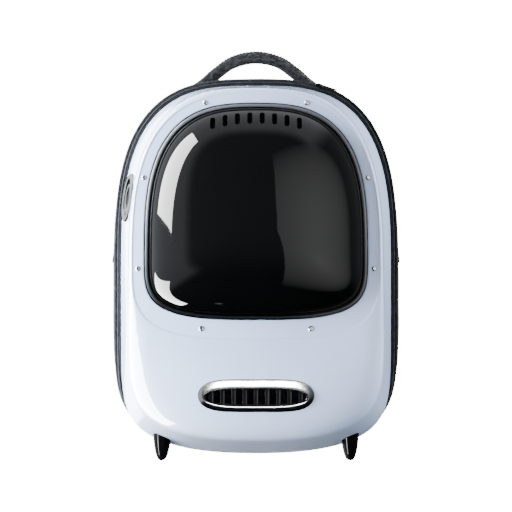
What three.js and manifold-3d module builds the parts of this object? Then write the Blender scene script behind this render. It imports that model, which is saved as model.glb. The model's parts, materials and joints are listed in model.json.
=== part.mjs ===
// Bubble pet carrier backpack: a glossy moulded front shell with a smoked bubble window, zipped to a
// fabric body with mesh sides, a carry handle, shoulder straps and four feet.
// Millimetres, +Z up. The window faces -Y, the wearer's side faces +Y, and the feet stand on z = 0.
// Depths are first counted from the rim plane, where the shell meets the fabric, at y = 0.
import * as THREE from 'three';
import { mergeVertices } from 'three/addons/utils/BufferGeometryUtils.js';
import Module from 'manifold-3d';

const wasm = await Module();
wasm.setup();

// Gap that neighbouring pieces keep
const clearance = 0.3;

// Front shell
const shellWidth = 304.8;
const shellHeight = 415.4;
const shellLift = 4;
const shellDepth = 100;
const shellWall = 2.6;
const draftSide = 12.9;
const draftTop = 7.5;
const draftBottom = 23;
const faceLean = 33;
const faceCrown = 8;
const chinHeight = 132;
const chinBulge = 16;
const shoulderDepth = 14;
const shoulderReach = 34;
const shoulderSide = 4.5;
const shoulderTop = 5.5;
const frameSide = 13;
const frameTop = 11.6;
const frameSill = 22;
const frameSunk = 0.8;

// Bubble window and its trim
const bubbleHeight = 55;
const bubbleWall = 2.2;
const bubbleFlange = 10;
const trimWidth = 3.8;
const trimGap = 1;
const trimProud = 0.6;

// Air slots along the top of the bubble
const slotCount = 8;
const slotWidth = 5.4;
const slotHeight = 13.4;
const slotPitch = 13.4;
const slotDrop = 18.5;
const slotArcRadius = 190;

// Screws round the window
const screwHeadDiameter = 5.6;
const screwHeadHeight = 1.9;
const screwShankDiameter = 2.6;

// Grille in the chin
const bezelWidth = 125;
const bezelHeight = 35;
const bezelLift = 73.5;
const bezelProud = 4.5;
const grilleWidth = 112;
const grilleHeight = 19;
const grilleDrop = 1.8;
const grilleDepth = 7;
const grilleSunk = 3.6;
const grilleFrame = 1.6;
const ribCount = 9;
const ribPitch = 12;
const ribWidth = 4.7;
const ribShy = 1;

// Round side vent, on the carrier's right-hand wall as it is worn
const ventLift = 293;
const ventOuterDiameter = 54;
const ventInnerDiameter = 42;
const ventProud = 2.4;
const ventThickness = 3;
const ventSlotCount = 5;
const ventSlotWidth = 2.4;
const ventSlotPitch = 4.6;

// Zipper between shell and fabric
const tapeDepth = 10;
const tapeFlare = 3.5;
const tapeWall = 2;
const seamRise = 7;
const tuckRise = 5;
const seamInset = 0.5;
const coilDiameter = 3.8;
const pipingDiameter = 4.2;
const sliderLength = 10;
const sliderWidth = 7;
const sliderHeight = 3.6;
const tabLength = 20;
const tabThickness = 1.6;
const sliderDirection = 64.5;

// Fabric body
const bodyDepth = 101;
const bodySwellSide = 12;
const bodySwellTop = 11.6;
const bodyRise = 8;
const bodyWall = 3;
const bodyBackRound = 24;
const meshFront = 14;
const meshDepth = 66;
const meshBottom = 222;
const meshHeight = 140;
const meshCorner = 14;
const meshSunk = 0.6;
const meshThickness = 1.2;

// Carry handle
const handleRise = 26;
const handleSpan = 132;
const handleWidth = 28;
const handleThickness = 14;
const handleBack = 50;

// Back panel, straps and their hardware
const panelShare = 0.63;
const panelWidth = panelShare * shellWidth;
const panelHeight = 292;
const panelLift = 74;
const panelThickness = 10;
const strapWidth = 54;
const strapThickness = 12;
const strapBow = 36;
const webbingWidth = 25;
const webbingThickness = 2.4;
const adjusterHeight = 26;
const adjusterMargin = 5;
const adjusterThickness = 7;
const adjusterSlot = 4;

// Feet
const frontFootSpacing = 210;
const rearFootSpacing = 221;
const footWidth = 20;
const footLength = 34;
const footHeight = 28;
const footRake = 5;
const frontFootDepth = -18.5;
const rearFootDepth = 88;

// Facets
const outlineSteps = 40;
const screwSides = 6;
const roundSides = 20;

// An upright outline of two half superellipses that share their width at the height called middle.
// Each power pair bends the half along x and along z.
function outline(half, bottom, top, middleShare, upper, lower) {
  const middle = THREE.MathUtils.lerp(bottom, top, middleShare);
  return { half, bottom, top, middle, upper, lower };
}

function mix(from, to, share) {
  const blend = (a, b) => THREE.MathUtils.lerp(a, b, share);
  const pair = (a, b) => [blend(a[0], b[0]), blend(a[1], b[1])];
  return {
    half: blend(from.half, to.half),
    bottom: blend(from.bottom, to.bottom),
    top: blend(from.top, to.top),
    middle: blend(from.middle, to.middle),
    upper: pair(from.upper, to.upper),
    lower: pair(from.lower, to.lower),
  };
}

function grown(shape, amount) {
  return {
    ...shape,
    half: shape.half + amount,
    top: shape.top + amount,
    bottom: shape.bottom - amount,
  };
}

const rim = outline(
  shellWidth / 2, shellLift, shellLift + shellHeight, 0.485, [3.05, 3.05], [2.3, 8]);
const shoulder = outline(
  rim.half - draftSide, rim.bottom + draftBottom, rim.top - draftTop, 0.465, [2.95, 2.95], [2.4, 7]);
const crease = outline(
  shoulder.half - shoulderSide, rim.bottom + chinHeight, shoulder.top - shoulderTop, 0.34,
  [2.75, 2.75], [3.4, 4]);
const windowEdge = outline(
  crease.half - frameSide, crease.bottom + frameSill, crease.top - frameTop, 0.328,
  [2.85, 2.85], [3.2, 4.6]);
// The zip's line at the rim, kept up off the floor at the bottom, and the fabric's edge behind it, which
// stands out at the sides and draws in behind the shell at its lower corners
const seam = { ...rim, bottom: rim.bottom + seamRise };
const bodyFront = grown(
  { ...seam, bottom: seam.bottom + tuckRise, lower: [2.3, 6.5] }, tapeFlare - seamInset);
const belly = outline(
  rim.half + bodySwellSide, rim.bottom + bodyRise, rim.top + bodySwellTop, 0.475,
  [2.75, 2.75], [2.3, 6]);

// Every outline is sampled along the same rays, which start here, inside the window.
const hubHeight = THREE.MathUtils.lerp(windowEdge.bottom, windowEdge.top, 0.46);

// Distance from a point on the middle plane to the outline, along a direction in the x, z plane
function reach(shape, angle, fromHeight = hubHeight) {
  const across = Math.cos(angle);
  const up = Math.sin(angle);
  let inside = 0;
  let outside = 2 * (shape.half + shape.top - shape.bottom);
  for (let turn = 0; turn < 40; turn += 1) {
    const distance = (inside + outside) / 2;
    const z = fromHeight + distance * up;
    const above = z > shape.middle;
    const height = above ? shape.top - shape.middle : shape.middle - shape.bottom;
    const [p, q] = above ? shape.upper : shape.lower;
    const x = Math.abs(distance * across) / shape.half;
    const value = x ** p + (Math.abs(z - shape.middle) / height) ** q;
    if (value < 1) inside = distance;
    else outside = distance;
  }
  return inside;
}

// Angle of the ray that meets the outline at a height, on the side where x is positive
function angleAtHeight(shape, height) {
  let low = -Math.PI / 2;
  let high = Math.PI / 2;
  for (let turn = 0; turn < 30; turn += 1) {
    const angle = (low + high) / 2;
    if (hubHeight + reach(shape, angle) * Math.sin(angle) < height) low = angle;
    else high = angle;
  }
  return low;
}

function rayPoint(distance, angle, y = 0) {
  return new THREE.Vector3(distance * Math.cos(angle), y, hubHeight + distance * Math.sin(angle));
}

// Ray angles that cut the rim into stretches of equal length, starting at the top
function evenAngles(shape, count) {
  const fine = 720;
  const start = Math.PI / 2;
  const lengths = [0];
  let last = rayPoint(reach(shape, start), start);
  for (let k = 1; k <= fine; k += 1) {
    const angle = start + (k / fine) * 2 * Math.PI;
    const point = rayPoint(reach(shape, angle), angle);
    lengths.push(lengths[k - 1] + point.distanceTo(last));
    last = point;
  }
  const angles = [];
  let k = 0;
  for (let step = 0; step < count; step += 1) {
    const target = (step / count) * lengths[fine];
    while (lengths[k + 1] <= target) k += 1;
    const share = (target - lengths[k]) / (lengths[k + 1] - lengths[k]);
    angles.push(start + ((k + share) / fine) * 2 * Math.PI);
  }
  return angles;
}

const angles = evenAngles(rim, outlineSteps);

function ringAt(shape, depth) {
  return angles.map((angle) => {
    const point = rayPoint(reach(shape, angle), angle);
    point.y = typeof depth === 'function' ? depth(point.x, point.z) : depth;
    return point;
  });
}

// The chin's bulge in front of the leaning face, from the window frame down to the rim
const chinProfile = [
  { down: 0, bulge: 0 },
  { down: 0.1, bulge: 0.34 },
  { down: 0.28, bulge: 0.82 },
  { down: 0.48, bulge: 1 },
  { down: 0.7, bulge: 0.9 },
  { down: 0.88, bulge: 0.55 },
  { down: 1, bulge: 0.2 },
];
const chinCurve = new THREE.CatmullRomCurve3(
  chinProfile.map((row) => new THREE.Vector3(row.down, row.bulge, 0)), false, 'centripetal');
const chinSamples = chinCurve.getPoints(80);

function chinShare(down) {
  const next = chinSamples.findIndex((point) => point.x >= down);
  if (next <= 0) return next === 0 ? 0 : chinSamples.at(-1).y;
  const a = chinSamples[next - 1];
  const b = chinSamples[next];
  return THREE.MathUtils.mapLinear(down, a.x, b.x, a.y, b.y);
}

// Depth of the shell's front face, before its edge rounds off
function faceDepth(x, z) {
  const up = THREE.MathUtils.clamp((z - crease.bottom) / (crease.top - crease.bottom), 0, 1.1);
  const down = THREE.MathUtils.clamp((crease.bottom - z) / (crease.bottom - rim.bottom), 0, 1);
  const side = Math.min(1, Math.abs(x) / rim.half);
  const bulge = chinBulge * chinShare(down) * (1 - side ** 3);
  return -shellDepth + faceLean * up + faceCrown * (x / crease.half) ** 2 - bulge;
}

// Geometry from points and triangles, turned so that its faces point outwards
function facingOut(points, index) {
  let volume = 0;
  for (let k = 0; k < index.length; k += 3) {
    const [a, b, c] = [points[index[k]], points[index[k + 1]], points[index[k + 2]]];
    volume += a.dot(b.clone().cross(c));
  }
  const order = volume > 0 ? index : index.toReversed();
  const geometry = new THREE.BufferGeometry().setFromPoints(points);
  geometry.setIndex(order);
  geometry.computeVertexNormals();
  return geometry;
}

function middleOf(ring) {
  const sum = ring.reduce((total, point) => total.add(point), new THREE.Vector3());
  return sum.divideScalar(ring.length);
}

// Closed skin over rings of equal length: wrapped back to the first ring, or closed by end fans
function loft(rings, wrap = false) {
  const count = rings[0].length;
  const points = rings.flat();
  const index = [];
  const bands = wrap ? rings.length : rings.length - 1;
  for (let r = 0; r < bands; r += 1) {
    const next = ((r + 1) % rings.length) * count;
    for (let k = 0; k < count; k += 1) {
      const step = (k + 1) % count;
      const a = r * count + k;
      const b = r * count + step;
      index.push(a, b, next + step, a, next + step, next + k);
    }
  }
  if (!wrap) {
    const last = (rings.length - 1) * count;
    const startHub = points.push(middleOf(rings[0])) - 1;
    const endHub = points.push(middleOf(rings.at(-1))) - 1;
    for (let k = 0; k < count; k += 1) {
      const step = (k + 1) % count;
      index.push(step, k, startHub);
      index.push(last + k, last + step, endHub);
    }
  }
  return facingOut(points, index);
}

// Rings moved along the skin's normals, away from the carrier's inside
function offset(rings, distance, insideDepth) {
  const inside = new THREE.Vector3(0, insideDepth, hubHeight);
  const count = rings[0].length;
  const normals = rings.map((ring, r) => ring.map((point, k) => {
    const along = ring[(k + 1) % count].clone().sub(ring[(k + count - 1) % count]);
    const before = rings[Math.max(0, r - 1)][k];
    const after = rings[Math.min(rings.length - 1, r + 1)][k];
    return along.cross(after.clone().sub(before)).normalize();
  }));
  let facing = 0;
  rings.forEach((ring, r) => ring.forEach((point, k) => {
    facing += normals[r][k].dot(point.clone().sub(inside));
  }));
  const move = distance * Math.sign(facing);
  return rings.map((ring, r) => ring.map(
    (point, k) => point.clone().addScaledVector(normals[r][k], move)));
}

// A skin of some thickness that is closed at the rings' last end, like a cup
function cup(outer, inner) {
  return loft([...inner.toReversed(), ...outer]);
}

// A band of some thickness that is open at both ends
function sleeve(outer, inner) {
  return loft([...outer, ...inner.toReversed()], true);
}

function solidOf(geometry) {
  const plain = geometry.clone();
  plain.deleteAttribute('normal');
  plain.deleteAttribute('uv');
  const merged = mergeVertices(plain, 1e-4);
  return new wasm.Manifold(new wasm.Mesh({
    numProp: 3,
    vertProperties: new Float32Array(merged.attributes.position.array),
    triVerts: new Uint32Array(merged.index.array),
  }));
}

function geometryOf(solid) {
  const mesh = solid.getMesh();
  const geometry = new THREE.BufferGeometry();
  geometry.setAttribute('position', new THREE.BufferAttribute(mesh.vertProperties, 3));
  geometry.setIndex(new THREE.BufferAttribute(mesh.triVerts, 1));
  geometry.computeVertexNormals();
  return geometry;
}

function cut(geometry, ...tools) {
  return geometryOf(tools.reduce((solid, tool) => solid.subtract(solidOf(tool)), solidOf(geometry)));
}

function joined(...geometries) {
  return geometryOf(geometries.slice(1).reduce(
    (solid, other) => solid.add(solidOf(other)), solidOf(geometries[0])));
}

// Moves a shape drawn in the x, y plane and extruded along z so that it stands in the x, z plane and
// runs along y from front to back
function standing(shape, front, back, curveSegments = 8) {
  const geometry = new THREE.ExtrudeGeometry(
    shape, { depth: back - front, bevelEnabled: false, curveSegments });
  geometry.rotateX(Math.PI / 2);
  geometry.translate(0, back, 0);
  return geometry;
}

function roundedShape(width, height, corner) {
  const x = width / 2;
  const y = height / 2;
  const shape = new THREE.Shape();
  shape.moveTo(-x + corner, -y);
  shape.lineTo(x - corner, -y);
  shape.absarc(x - corner, -y + corner, corner, -Math.PI / 2, 0);
  shape.lineTo(x, y - corner);
  shape.absarc(x - corner, y - corner, corner, 0, Math.PI / 2);
  shape.lineTo(-x + corner, y);
  shape.absarc(-x + corner, y - corner, corner, Math.PI / 2, Math.PI);
  shape.lineTo(-x, -y + corner);
  shape.absarc(-x + corner, -y + corner, corner, Math.PI, 1.5 * Math.PI);
  return shape;
}

// Turns a piece built along +Y so that its axis follows the direction, and sets it at the point
function seated(geometry, point, direction) {
  const turn = new THREE.Quaternion().setFromUnitVectors(new THREE.Vector3(0, 1, 0), direction);
  return geometry.applyQuaternion(turn).translate(point.x, point.y, point.z);
}

function turned(profile, sides) {
  return new THREE.LatheGeometry(profile.map(([radius, y]) => new THREE.Vector2(radius, y)), sides);
}

// Shell skin: the drafted wall, the rounded shoulder down over the chin, then the window frame
const shoulderShares = [0.05, 0.13, 0.25, 0.42, 0.68, 1];
const frameShares = [0.1, 1];

function wallPoint(angle, share) {
  const start = rayPoint(reach(rim, angle), angle, 0);
  const end = rayPoint(reach(shoulder, angle), angle);
  end.y = faceDepth(end.x, end.z) + shoulderDepth;
  return start.lerp(end, share);
}

function shoulderPoint(angle, share) {
  const outer = reach(shoulder, angle);
  const inner = reach(crease, angle);
  const span = outer - inner;
  const rolled = Math.min(1, (share * span) / Math.min(span, shoulderReach));
  const point = rayPoint(outer - share * span, angle);
  const drop = 1 - Math.sqrt(1 - (1 - rolled) ** 2);
  point.y = faceDepth(point.x, point.z) + shoulderDepth * drop;
  return point;
}

function framePoint(angle, share) {
  const outer = reach(crease, angle);
  const inner = reach(windowEdge, angle);
  const point = rayPoint(THREE.MathUtils.lerp(outer, inner, share), angle);
  point.y = faceDepth(point.x, point.z) + frameSunk;
  return point;
}

const shellSkin = [
  angles.map((angle) => wallPoint(angle, 0)),
  angles.map((angle) => wallPoint(angle, 1)),
  ...shoulderShares.map((share) => angles.map((angle) => shoulderPoint(angle, share))),
  ...frameShares.map((share) => angles.map((angle) => framePoint(angle, share))),
];

// The whole space behind the shell's skin, grown by the gap, which seats what lies on the skin
function shellCutter() {
  return loft(offset(shellSkin, clearance, 0));
}

// A slim normal of the shell's skin, from two short steps along it
function skinNormal(pointAt, angle, share) {
  const step = 0.01;
  const across = pointAt(angle + step, share).sub(pointAt(angle - step, share));
  const along = pointAt(angle, share + step).sub(pointAt(angle, share - step));
  const normal = across.cross(along).normalize();
  return normal.y > 0 ? normal.negate() : normal;
}

function ringShape(width, height, powers, amount = 0) {
  const half = height / 2 + amount;
  return outline(width / 2 + amount, -half, half, 0.5, powers, powers);
}

function shapePoints(shape, steps, centreHeight) {
  return Array.from({ length: steps }, (_, k) => {
    const turn = (k / steps) * 2 * Math.PI;
    // equal turns of a flattened circle keep the points close together round the ends
    const angle = Math.atan2((shape.top / shape.half) * Math.sin(turn), Math.cos(turn));
    const distance = reach(shape, angle, 0);
    return new THREE.Vector3(distance * Math.cos(angle), 0, centreHeight + distance * Math.sin(angle));
  });
}

function plate(shape, steps, centreHeight, front, back) {
  const ring = shapePoints(shape, steps, centreHeight);
  const at = (y) => ring.map((point) => new THREE.Vector3(point.x, y, point.z));
  return loft([at(front), at(back)]);
}

const bezelPowers = [5, 2];
const grillePowers = [3.5, 2];
const bezelHeightCentre = shellLift + bezelLift;
const grilleHeightCentre = bezelHeightCentre - grilleDrop;
const chinFront = faceDepth(0, bezelHeightCentre);
const grilleSteps = 24;

function grilleHole() {
  const hole = ringShape(grilleWidth, grilleHeight, grillePowers, 2 * clearance);
  const reachIn = 4 * shellWall;
  return plate(hole, grilleSteps, grilleHeightCentre, chinFront - reachIn, chinFront + 2 * reachIn);
}

// Where the round vent sits on the side wall, and which way it faces
const ventAngle = Math.PI - angleAtHeight(rim, ventLift);
const ventShare = 0.5;
const ventPoint = wallPoint(ventAngle, ventShare);
const ventAxis = skinNormal(wallPoint, ventAngle, ventShare);

function ventHole() {
  const radius = ventInnerDiameter / 2;
  const drill = new THREE.CylinderGeometry(radius, radius, 12 * shellWall, roundSides);
  return seated(drill, ventPoint, ventAxis);
}

// Screws sit half way across the window frame; their directions are seen from inside the window
const screwDirections = [66.5, 20.5, -22.7, -63.5];
const screwPlaces = screwDirections.flatMap((degrees) => [degrees, 180 - degrees]).map((degrees) => {
  const angle = THREE.MathUtils.degToRad(degrees);
  return {
    point: framePoint(angle, 0.5),
    axis: skinNormal(framePoint, angle, 0.5),
  };
});

function screwHole(place) {
  const radius = screwShankDiameter / 2 + clearance;
  const drill = new THREE.CylinderGeometry(radius, radius, 4 * shellWall, screwSides);
  return seated(drill, place.point, place.axis);
}

function frontShell() {
  const inner = offset(shellSkin, -shellWall, 0);
  inner[0].forEach((point) => point.setY(0));
  return cut(sleeve(shellSkin, inner), grilleHole(), ventHole(), ...screwPlaces.map(screwHole));
}

// Round-headed screw along +Y, its head on the shell and its shank through it
function screw() {
  const shank = screwShankDiameter / 2;
  const head = screwHeadDiameter / 2;
  return turned([
    [0, -shellWall + clearance],
    [shank, -shellWall + clearance],
    [shank, clearance],
    [head, clearance],
    [head * 0.86, clearance + screwHeadHeight * 0.55],
    [head * 0.45, clearance + screwHeadHeight * 0.93],
    [0, clearance + screwHeadHeight],
  ], screwSides);
}

// Bubble: a flange behind the window frame, a steep wall and a flatter crown
const domeEdgePower = 2.8;
const domeRisePower = 1.7;
const domeShares = [0.025, 0.08, 0.17, 0.31, 0.5, 0.74];

function flangeFront(x, z) {
  return faceDepth(x, z) + frameSunk + shellWall + 2 * clearance;
}

function domePoint(angle, share) {
  const base = reach(grown(windowEdge, -trimGap - trimWidth - clearance), angle);
  const point = rayPoint(base * (1 - share), angle);
  const rise = (1 - (1 - share) ** domeEdgePower) ** (1 / domeRisePower);
  point.y = THREE.MathUtils.lerp(
    flangeFront(point.x, point.z), faceDepth(point.x, point.z) - bubbleHeight, rise);
  return point;
}

function bubble() {
  const outer = [
    ringAt(grown(windowEdge, bubbleFlange), flangeFront),
    angles.map((angle) => domePoint(angle, 0)),
    ...domeShares.map((share) => angles.map((angle) => domePoint(angle, share))),
  ];
  const inner = offset(outer, -bubbleWall, 0);
  return cut(cup(outer, inner), ...slots());
}

function slots() {
  const shape = roundedShape(slotWidth, slotHeight, slotWidth / 2);
  return Array.from({ length: slotCount }, (_, k) => {
    const x = (k - (slotCount - 1) / 2) * slotPitch;
    const drop = slotDrop + x ** 2 / (2 * slotArcRadius);
    return standing(shape, -2 * shellDepth, 0, 3).translate(x, 0, windowEdge.top - drop);
  });
}

// Trim ring that stands in the slot between the window frame and the bubble
function windowTrim() {
  const outer = grown(windowEdge, -trimGap);
  const inner = grown(outer, -trimWidth);
  const proud = (x, z) => faceDepth(x, z) - trimProud;
  const seat = (x, z) => flangeFront(x, z) - clearance;
  return sleeve(
    [ringAt(outer, seat), ringAt(outer, proud)],
    [ringAt(inner, seat), ringAt(inner, proud)]);
}

// Chrome bezel: it rises from the shell to a crest beside the grille and rolls over into it
function grilleBezel() {
  const steps = 32;
  const outer = ringShape(bezelWidth, bezelHeight, bezelPowers);
  const inner = ringShape(grilleWidth, grilleHeight, grillePowers);
  const rows = [
    { toInner: 0, proud: -1 },
    { toInner: 0.03, proud: 0.22 },
    { toInner: 0.4, proud: 0.72 },
    { toInner: 0.82, proud: 1 },
    { toInner: 1, proud: 0.7 },
    { toInner: 1, proud: -1 },
  ];
  const outerRing = shapePoints(outer, steps, bezelHeightCentre);
  const innerRing = shapePoints(inner, steps, grilleHeightCentre);
  const rings = rows.map((row) => outerRing.map((point, k) => {
    const moved = point.clone().lerp(innerRing[k], row.toInner);
    moved.y = faceDepth(moved.x, moved.z) - row.proud * bezelProud;
    return moved;
  }));
  return cut(loft(rings, true), shellCutter());
}

// Black louvre insert: a slim frame and upright ribs, open between them
function grilleInsert() {
  const edge = ringShape(grilleWidth, grilleHeight, grillePowers, clearance);
  const mouth = ringShape(grilleWidth, grilleHeight, grillePowers, -grilleFrame);
  const front = chinFront + grilleSunk;
  const back = front + grilleDepth;
  const frame = cut(
    plate(edge, grilleSteps, grilleHeightCentre, front, back),
    plate(mouth, grilleSteps, grilleHeightCentre, front - 1, back + 1));
  const bars = Array.from({ length: ribCount }, (_, k) => {
    const x = (k - (ribCount - 1) / 2) * ribPitch;
    const bar = new THREE.BoxGeometry(ribWidth, grilleDepth - 2 * ribShy, 1.2 * grilleHeight);
    return solidOf(bar.translate(x, (front + back) / 2, grilleHeightCentre));
  });
  const ribs = bars.reduce((all, bar) => all.add(bar));
  const kept = ribs.intersect(solidOf(plate(edge, grilleSteps, grilleHeightCentre, front, back)));
  return geometryOf(solidOf(frame).add(kept));
}

// Stepped bright ring round the vent, its back cut to the wall's curve
function ventRing() {
  const outer = ventOuterDiameter / 2;
  const inner = ventInnerDiameter / 2;
  const ring = turned([
    [outer, -ventProud * 2],
    [outer, ventProud * 0.4],
    [outer - 1.6, ventProud],
    [inner + 2, ventProud],
    [inner, ventProud * 0.3],
    [inner, -ventProud * 2],
    [outer, -ventProud * 2],
  ], roundSides);
  return cut(seated(ring, ventPoint, ventAxis), shellCutter());
}

// Vent disc with a raised middle ring and louvre slots inside it
function ventDisc() {
  const radius = ventInnerDiameter / 2 - clearance;
  const top = -0.6;
  const ringOuter = radius * 0.76;
  const ringInner = radius * 0.58;
  const disc = turned([
    [0, top - ventThickness],
    [radius, top - ventThickness],
    [radius, top],
    [ringOuter, top],
    [ringOuter - 0.8, top + 1.6],
    [ringInner + 0.8, top + 1.6],
    [ringInner, top],
    [0, top],
  ], roundSides);
  const louvres = Array.from({ length: ventSlotCount }, (_, k) => {
    const along = (k - (ventSlotCount - 1) / 2) * ventSlotPitch;
    const length = 2 * Math.sqrt((ringInner - 1.2) ** 2 - along ** 2);
    return new THREE.BoxGeometry(ventSlotWidth, 20, length).translate(along, 0, 0);
  });
  return seated(cut(disc, ...louvres), ventPoint, ventAxis);
}

// Zipper tape, flaring from the shell's rim to the fabric
function zipperTape() {
  const start = clearance;
  const end = tapeDepth;
  const outerStart = grown(seam, -seamInset);
  const outerEnd = bodyFront;
  return sleeve(
    [ringAt(outerStart, start), ringAt(outerEnd, end)],
    [ringAt(grown(outerStart, -tapeWall), start), ringAt(grown(outerEnd, -tapeWall), end)]);
}

// A round cord of some diameter that follows an outline
function ringTube(shape, depth, diameter, sides = 5) {
  const rings = Array.from({ length: sides }, (_, k) => {
    const turn = (k / sides) * 2 * Math.PI;
    const radius = diameter / 2;
    return ringAt(grown(shape, radius * Math.cos(turn)), depth + radius * Math.sin(turn));
  });
  return loft(rings, true);
}

const coilShare = 0.42;
const coilDepth = tapeDepth * coilShare;
const coilOutline = grown(
  mix(grown(seam, -seamInset), bodyFront, coilShare), coilDiameter / 2 + 2 * clearance);
const pipingDepth = tapeDepth + clearance + pipingDiameter / 2;
const pipingOutline = grown(bodyFront, pipingDiameter / 2 + 5 * clearance);

// Slider over the coil with its pull tab lying along the zip
function zipperSlider() {
  const angle = THREE.MathUtils.degToRad(sliderDirection);
  const lift = coilDiameter / 2 + clearance;
  const at = rayPoint(reach(coilOutline, angle), angle, coilDepth);
  const ahead = rayPoint(reach(coilOutline, angle - 0.05), angle - 0.05, coilDepth);
  const tangent = ahead.sub(at).normalize();
  const up = new THREE.Vector3(-tangent.z, 0, tangent.x);
  if (up.z < 0) up.negate();
  const body = new THREE.BoxGeometry(sliderLength, sliderWidth, sliderHeight);
  body.translate(0, 0, lift + sliderHeight / 2);
  const tab = new THREE.BoxGeometry(tabLength, sliderWidth - 2, tabThickness);
  tab.translate(tabLength / 2, 0, lift + sliderHeight - tabThickness / 2);
  const across = up.clone().cross(tangent);
  const frame = new THREE.Matrix4().makeBasis(tangent, across, up).setPosition(at);
  return joined(body, tab).applyMatrix4(frame);
}

// Fabric body sections, from the zip to the back
const bodySections = [
  { depth: 0, swell: 0, inset: 0 },
  { depth: 0.1, swell: 0.55, inset: 0 },
  { depth: 0.32, swell: 1, inset: 0 },
  { depth: 0.62, swell: 1, inset: 0.06 },
  { depth: 0.84, swell: 1, inset: 0.3 },
  { depth: 0.95, swell: 1, inset: 0.62 },
  { depth: 1, swell: 1, inset: 1 },
];
const bodyStart = tapeDepth + clearance;
const bodyBack = bodyStart + bodyDepth;
const bodySkin = bodySections.map((row) => {
  const shape = grown(mix(bodyFront, belly, row.swell), -row.inset * bodyBackRound);
  return ringAt(shape, bodyStart + row.depth * bodyDepth);
});

// The body's whole space, moved in or out along its skin and closed flat at the front
function bodyBlock(amount) {
  const rings = offset(bodySkin, amount, bodyStart);
  rings[0].forEach((point) => point.setY(bodyStart - Math.max(0, amount)));
  return loft(rings);
}

function meshWindow(side, amount) {
  const shape = roundedShape(
    meshDepth + 2 * amount, meshHeight + 2 * amount, meshCorner + amount);
  const prism = new THREE.ExtrudeGeometry(
    shape, { depth: belly.half, bevelEnabled: false, curveSegments: 4 });
  prism.rotateX(Math.PI / 2);
  prism.rotateZ(Math.PI / 2);
  prism.translate(
    side > 0 ? belly.half * 0.5 : -belly.half * 1.5,
    bodyStart + meshFront + meshDepth / 2,
    meshBottom + meshHeight / 2);
  return prism;
}

function fabricBody() {
  const inner = offset(bodySkin, -bodyWall, bodyStart);
  inner[0].forEach((point) => point.setY(bodyStart));
  return cut(cup(bodySkin, inner), meshWindow(1, 0), meshWindow(-1, 0));
}

// Thin panel that follows the body's skin inside its window
function meshPanel(side) {
  const skin = solidOf(bodyBlock(-meshSunk)).subtract(solidOf(bodyBlock(-meshSunk - meshThickness)));
  return geometryOf(skin.intersect(solidOf(meshWindow(side, -clearance))));
}

// A flat padded strip along a curve: the width lies along the given axis as far as the curve allows
function strip(curve, steps, widthAxis, width, thickness, sides = 8) {
  const rings = Array.from({ length: steps + 1 }, (_, step) => {
    const centre = curve.getPoint(step / steps);
    const tangent = curve.getTangent(step / steps);
    const across = widthAxis.clone().addScaledVector(tangent, -widthAxis.dot(tangent)).normalize();
    const through = tangent.clone().cross(across);
    return Array.from({ length: sides }, (_, k) => {
      const turn = ((k + 0.5) / sides) * 2 * Math.PI;
      const squared = (value) => Math.sign(value) * Math.abs(value) ** 0.6;
      return centre.clone()
        .addScaledVector(across, (width / 2) * squared(Math.cos(turn)))
        .addScaledVector(through, (thickness / 2) * squared(Math.sin(turn)));
    });
  });
  return loft(rings);
}

// Handle arch: shares of its half span and of its rise above the body's top
const handleArch = [
  { out: 1.22, rise: -0.72 },
  { out: 0.94, rise: -0.24 },
  { out: 0.7, rise: 0.27 },
  { out: 0.4, rise: 0.79 },
  { out: 0, rise: 1 },
];

function carryHandle() {
  const depth = bodyStart + handleBack;
  const place = (row, side) => new THREE.Vector3(
    side * row.out * (handleSpan / 2), depth, belly.top + row.rise * handleRise);
  const left = handleArch.map((row) => place(row, -1));
  const right = handleArch.slice(0, -1).map((row) => place(row, 1)).toReversed();
  const curve = new THREE.CatmullRomCurve3([...left, ...right], false, 'centripetal');
  const arch = strip(curve, 20, new THREE.Vector3(0, 1, 0), handleWidth, handleThickness, 10);
  return cut(arch, bodyBlock(clearance));
}

// Padded back panel with a crowned edge
function backPanel() {
  const edge = ringShape(panelWidth, panelHeight, [4, 5]);
  const centreHeight = panelLift + panelHeight / 2;
  const rows = [
    { inset: 2, out: 0 },
    { inset: 0, out: 0.35 },
    { inset: 1.5, out: 0.75 },
    { inset: 7, out: 1 },
  ];
  const rings = rows.map((row) => {
    const y = bodyBack + clearance + row.out * panelThickness;
    const ring = shapePoints(grown(edge, -row.inset), 32, centreHeight);
    return ring.map((point) => new THREE.Vector3(point.x, y, point.z));
  });
  return loft(rings);
}

// Strap route from the top of the back: out is counted from the middle line, back from the body's
// back face and high from the floor, each as a share of the panel's width, the strap's own bow or
// the body's top
const strapRoute = [
  { out: 0.24, back: -0.25, high: 0.915 },
  { out: 0.26, back: 0.4, high: 0.905 },
  { out: 0.3, back: 0.84, high: 0.835 },
  { out: 0.345, back: 1.0, high: 0.725 },
  { out: 0.41, back: 1.0, high: 0.595 },
  { out: 0.46, back: 0.86, high: 0.475 },
  { out: 0.49, back: 0.66, high: 0.385 },
];
const webbingRoute = [
  { out: 0.49, back: 0.66, high: 0.385 },
  { out: 0.505, back: 0.52, high: 0.32 },
  { out: 0.54, back: 0.3, high: 0.225 },
  { out: 0.58, back: 0.05, high: 0.15 },
  { out: 0.61, back: -0.5, high: 0.11 },
];

function routePoint(row, side) {
  return new THREE.Vector3(
    side * row.out * panelWidth, bodyBack + row.back * strapBow, row.high * belly.top);
}

function routeCurve(route, side) {
  return new THREE.CatmullRomCurve3(route.map((row) => routePoint(row, side)), false, 'centripetal');
}

const sideways = new THREE.Vector3(1, 0, 0);

function shoulderStrap(side) {
  const strap = strip(routeCurve(strapRoute, side), 14, sideways, strapWidth, strapThickness);
  return cut(strap, bodyBlock(clearance));
}

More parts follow.
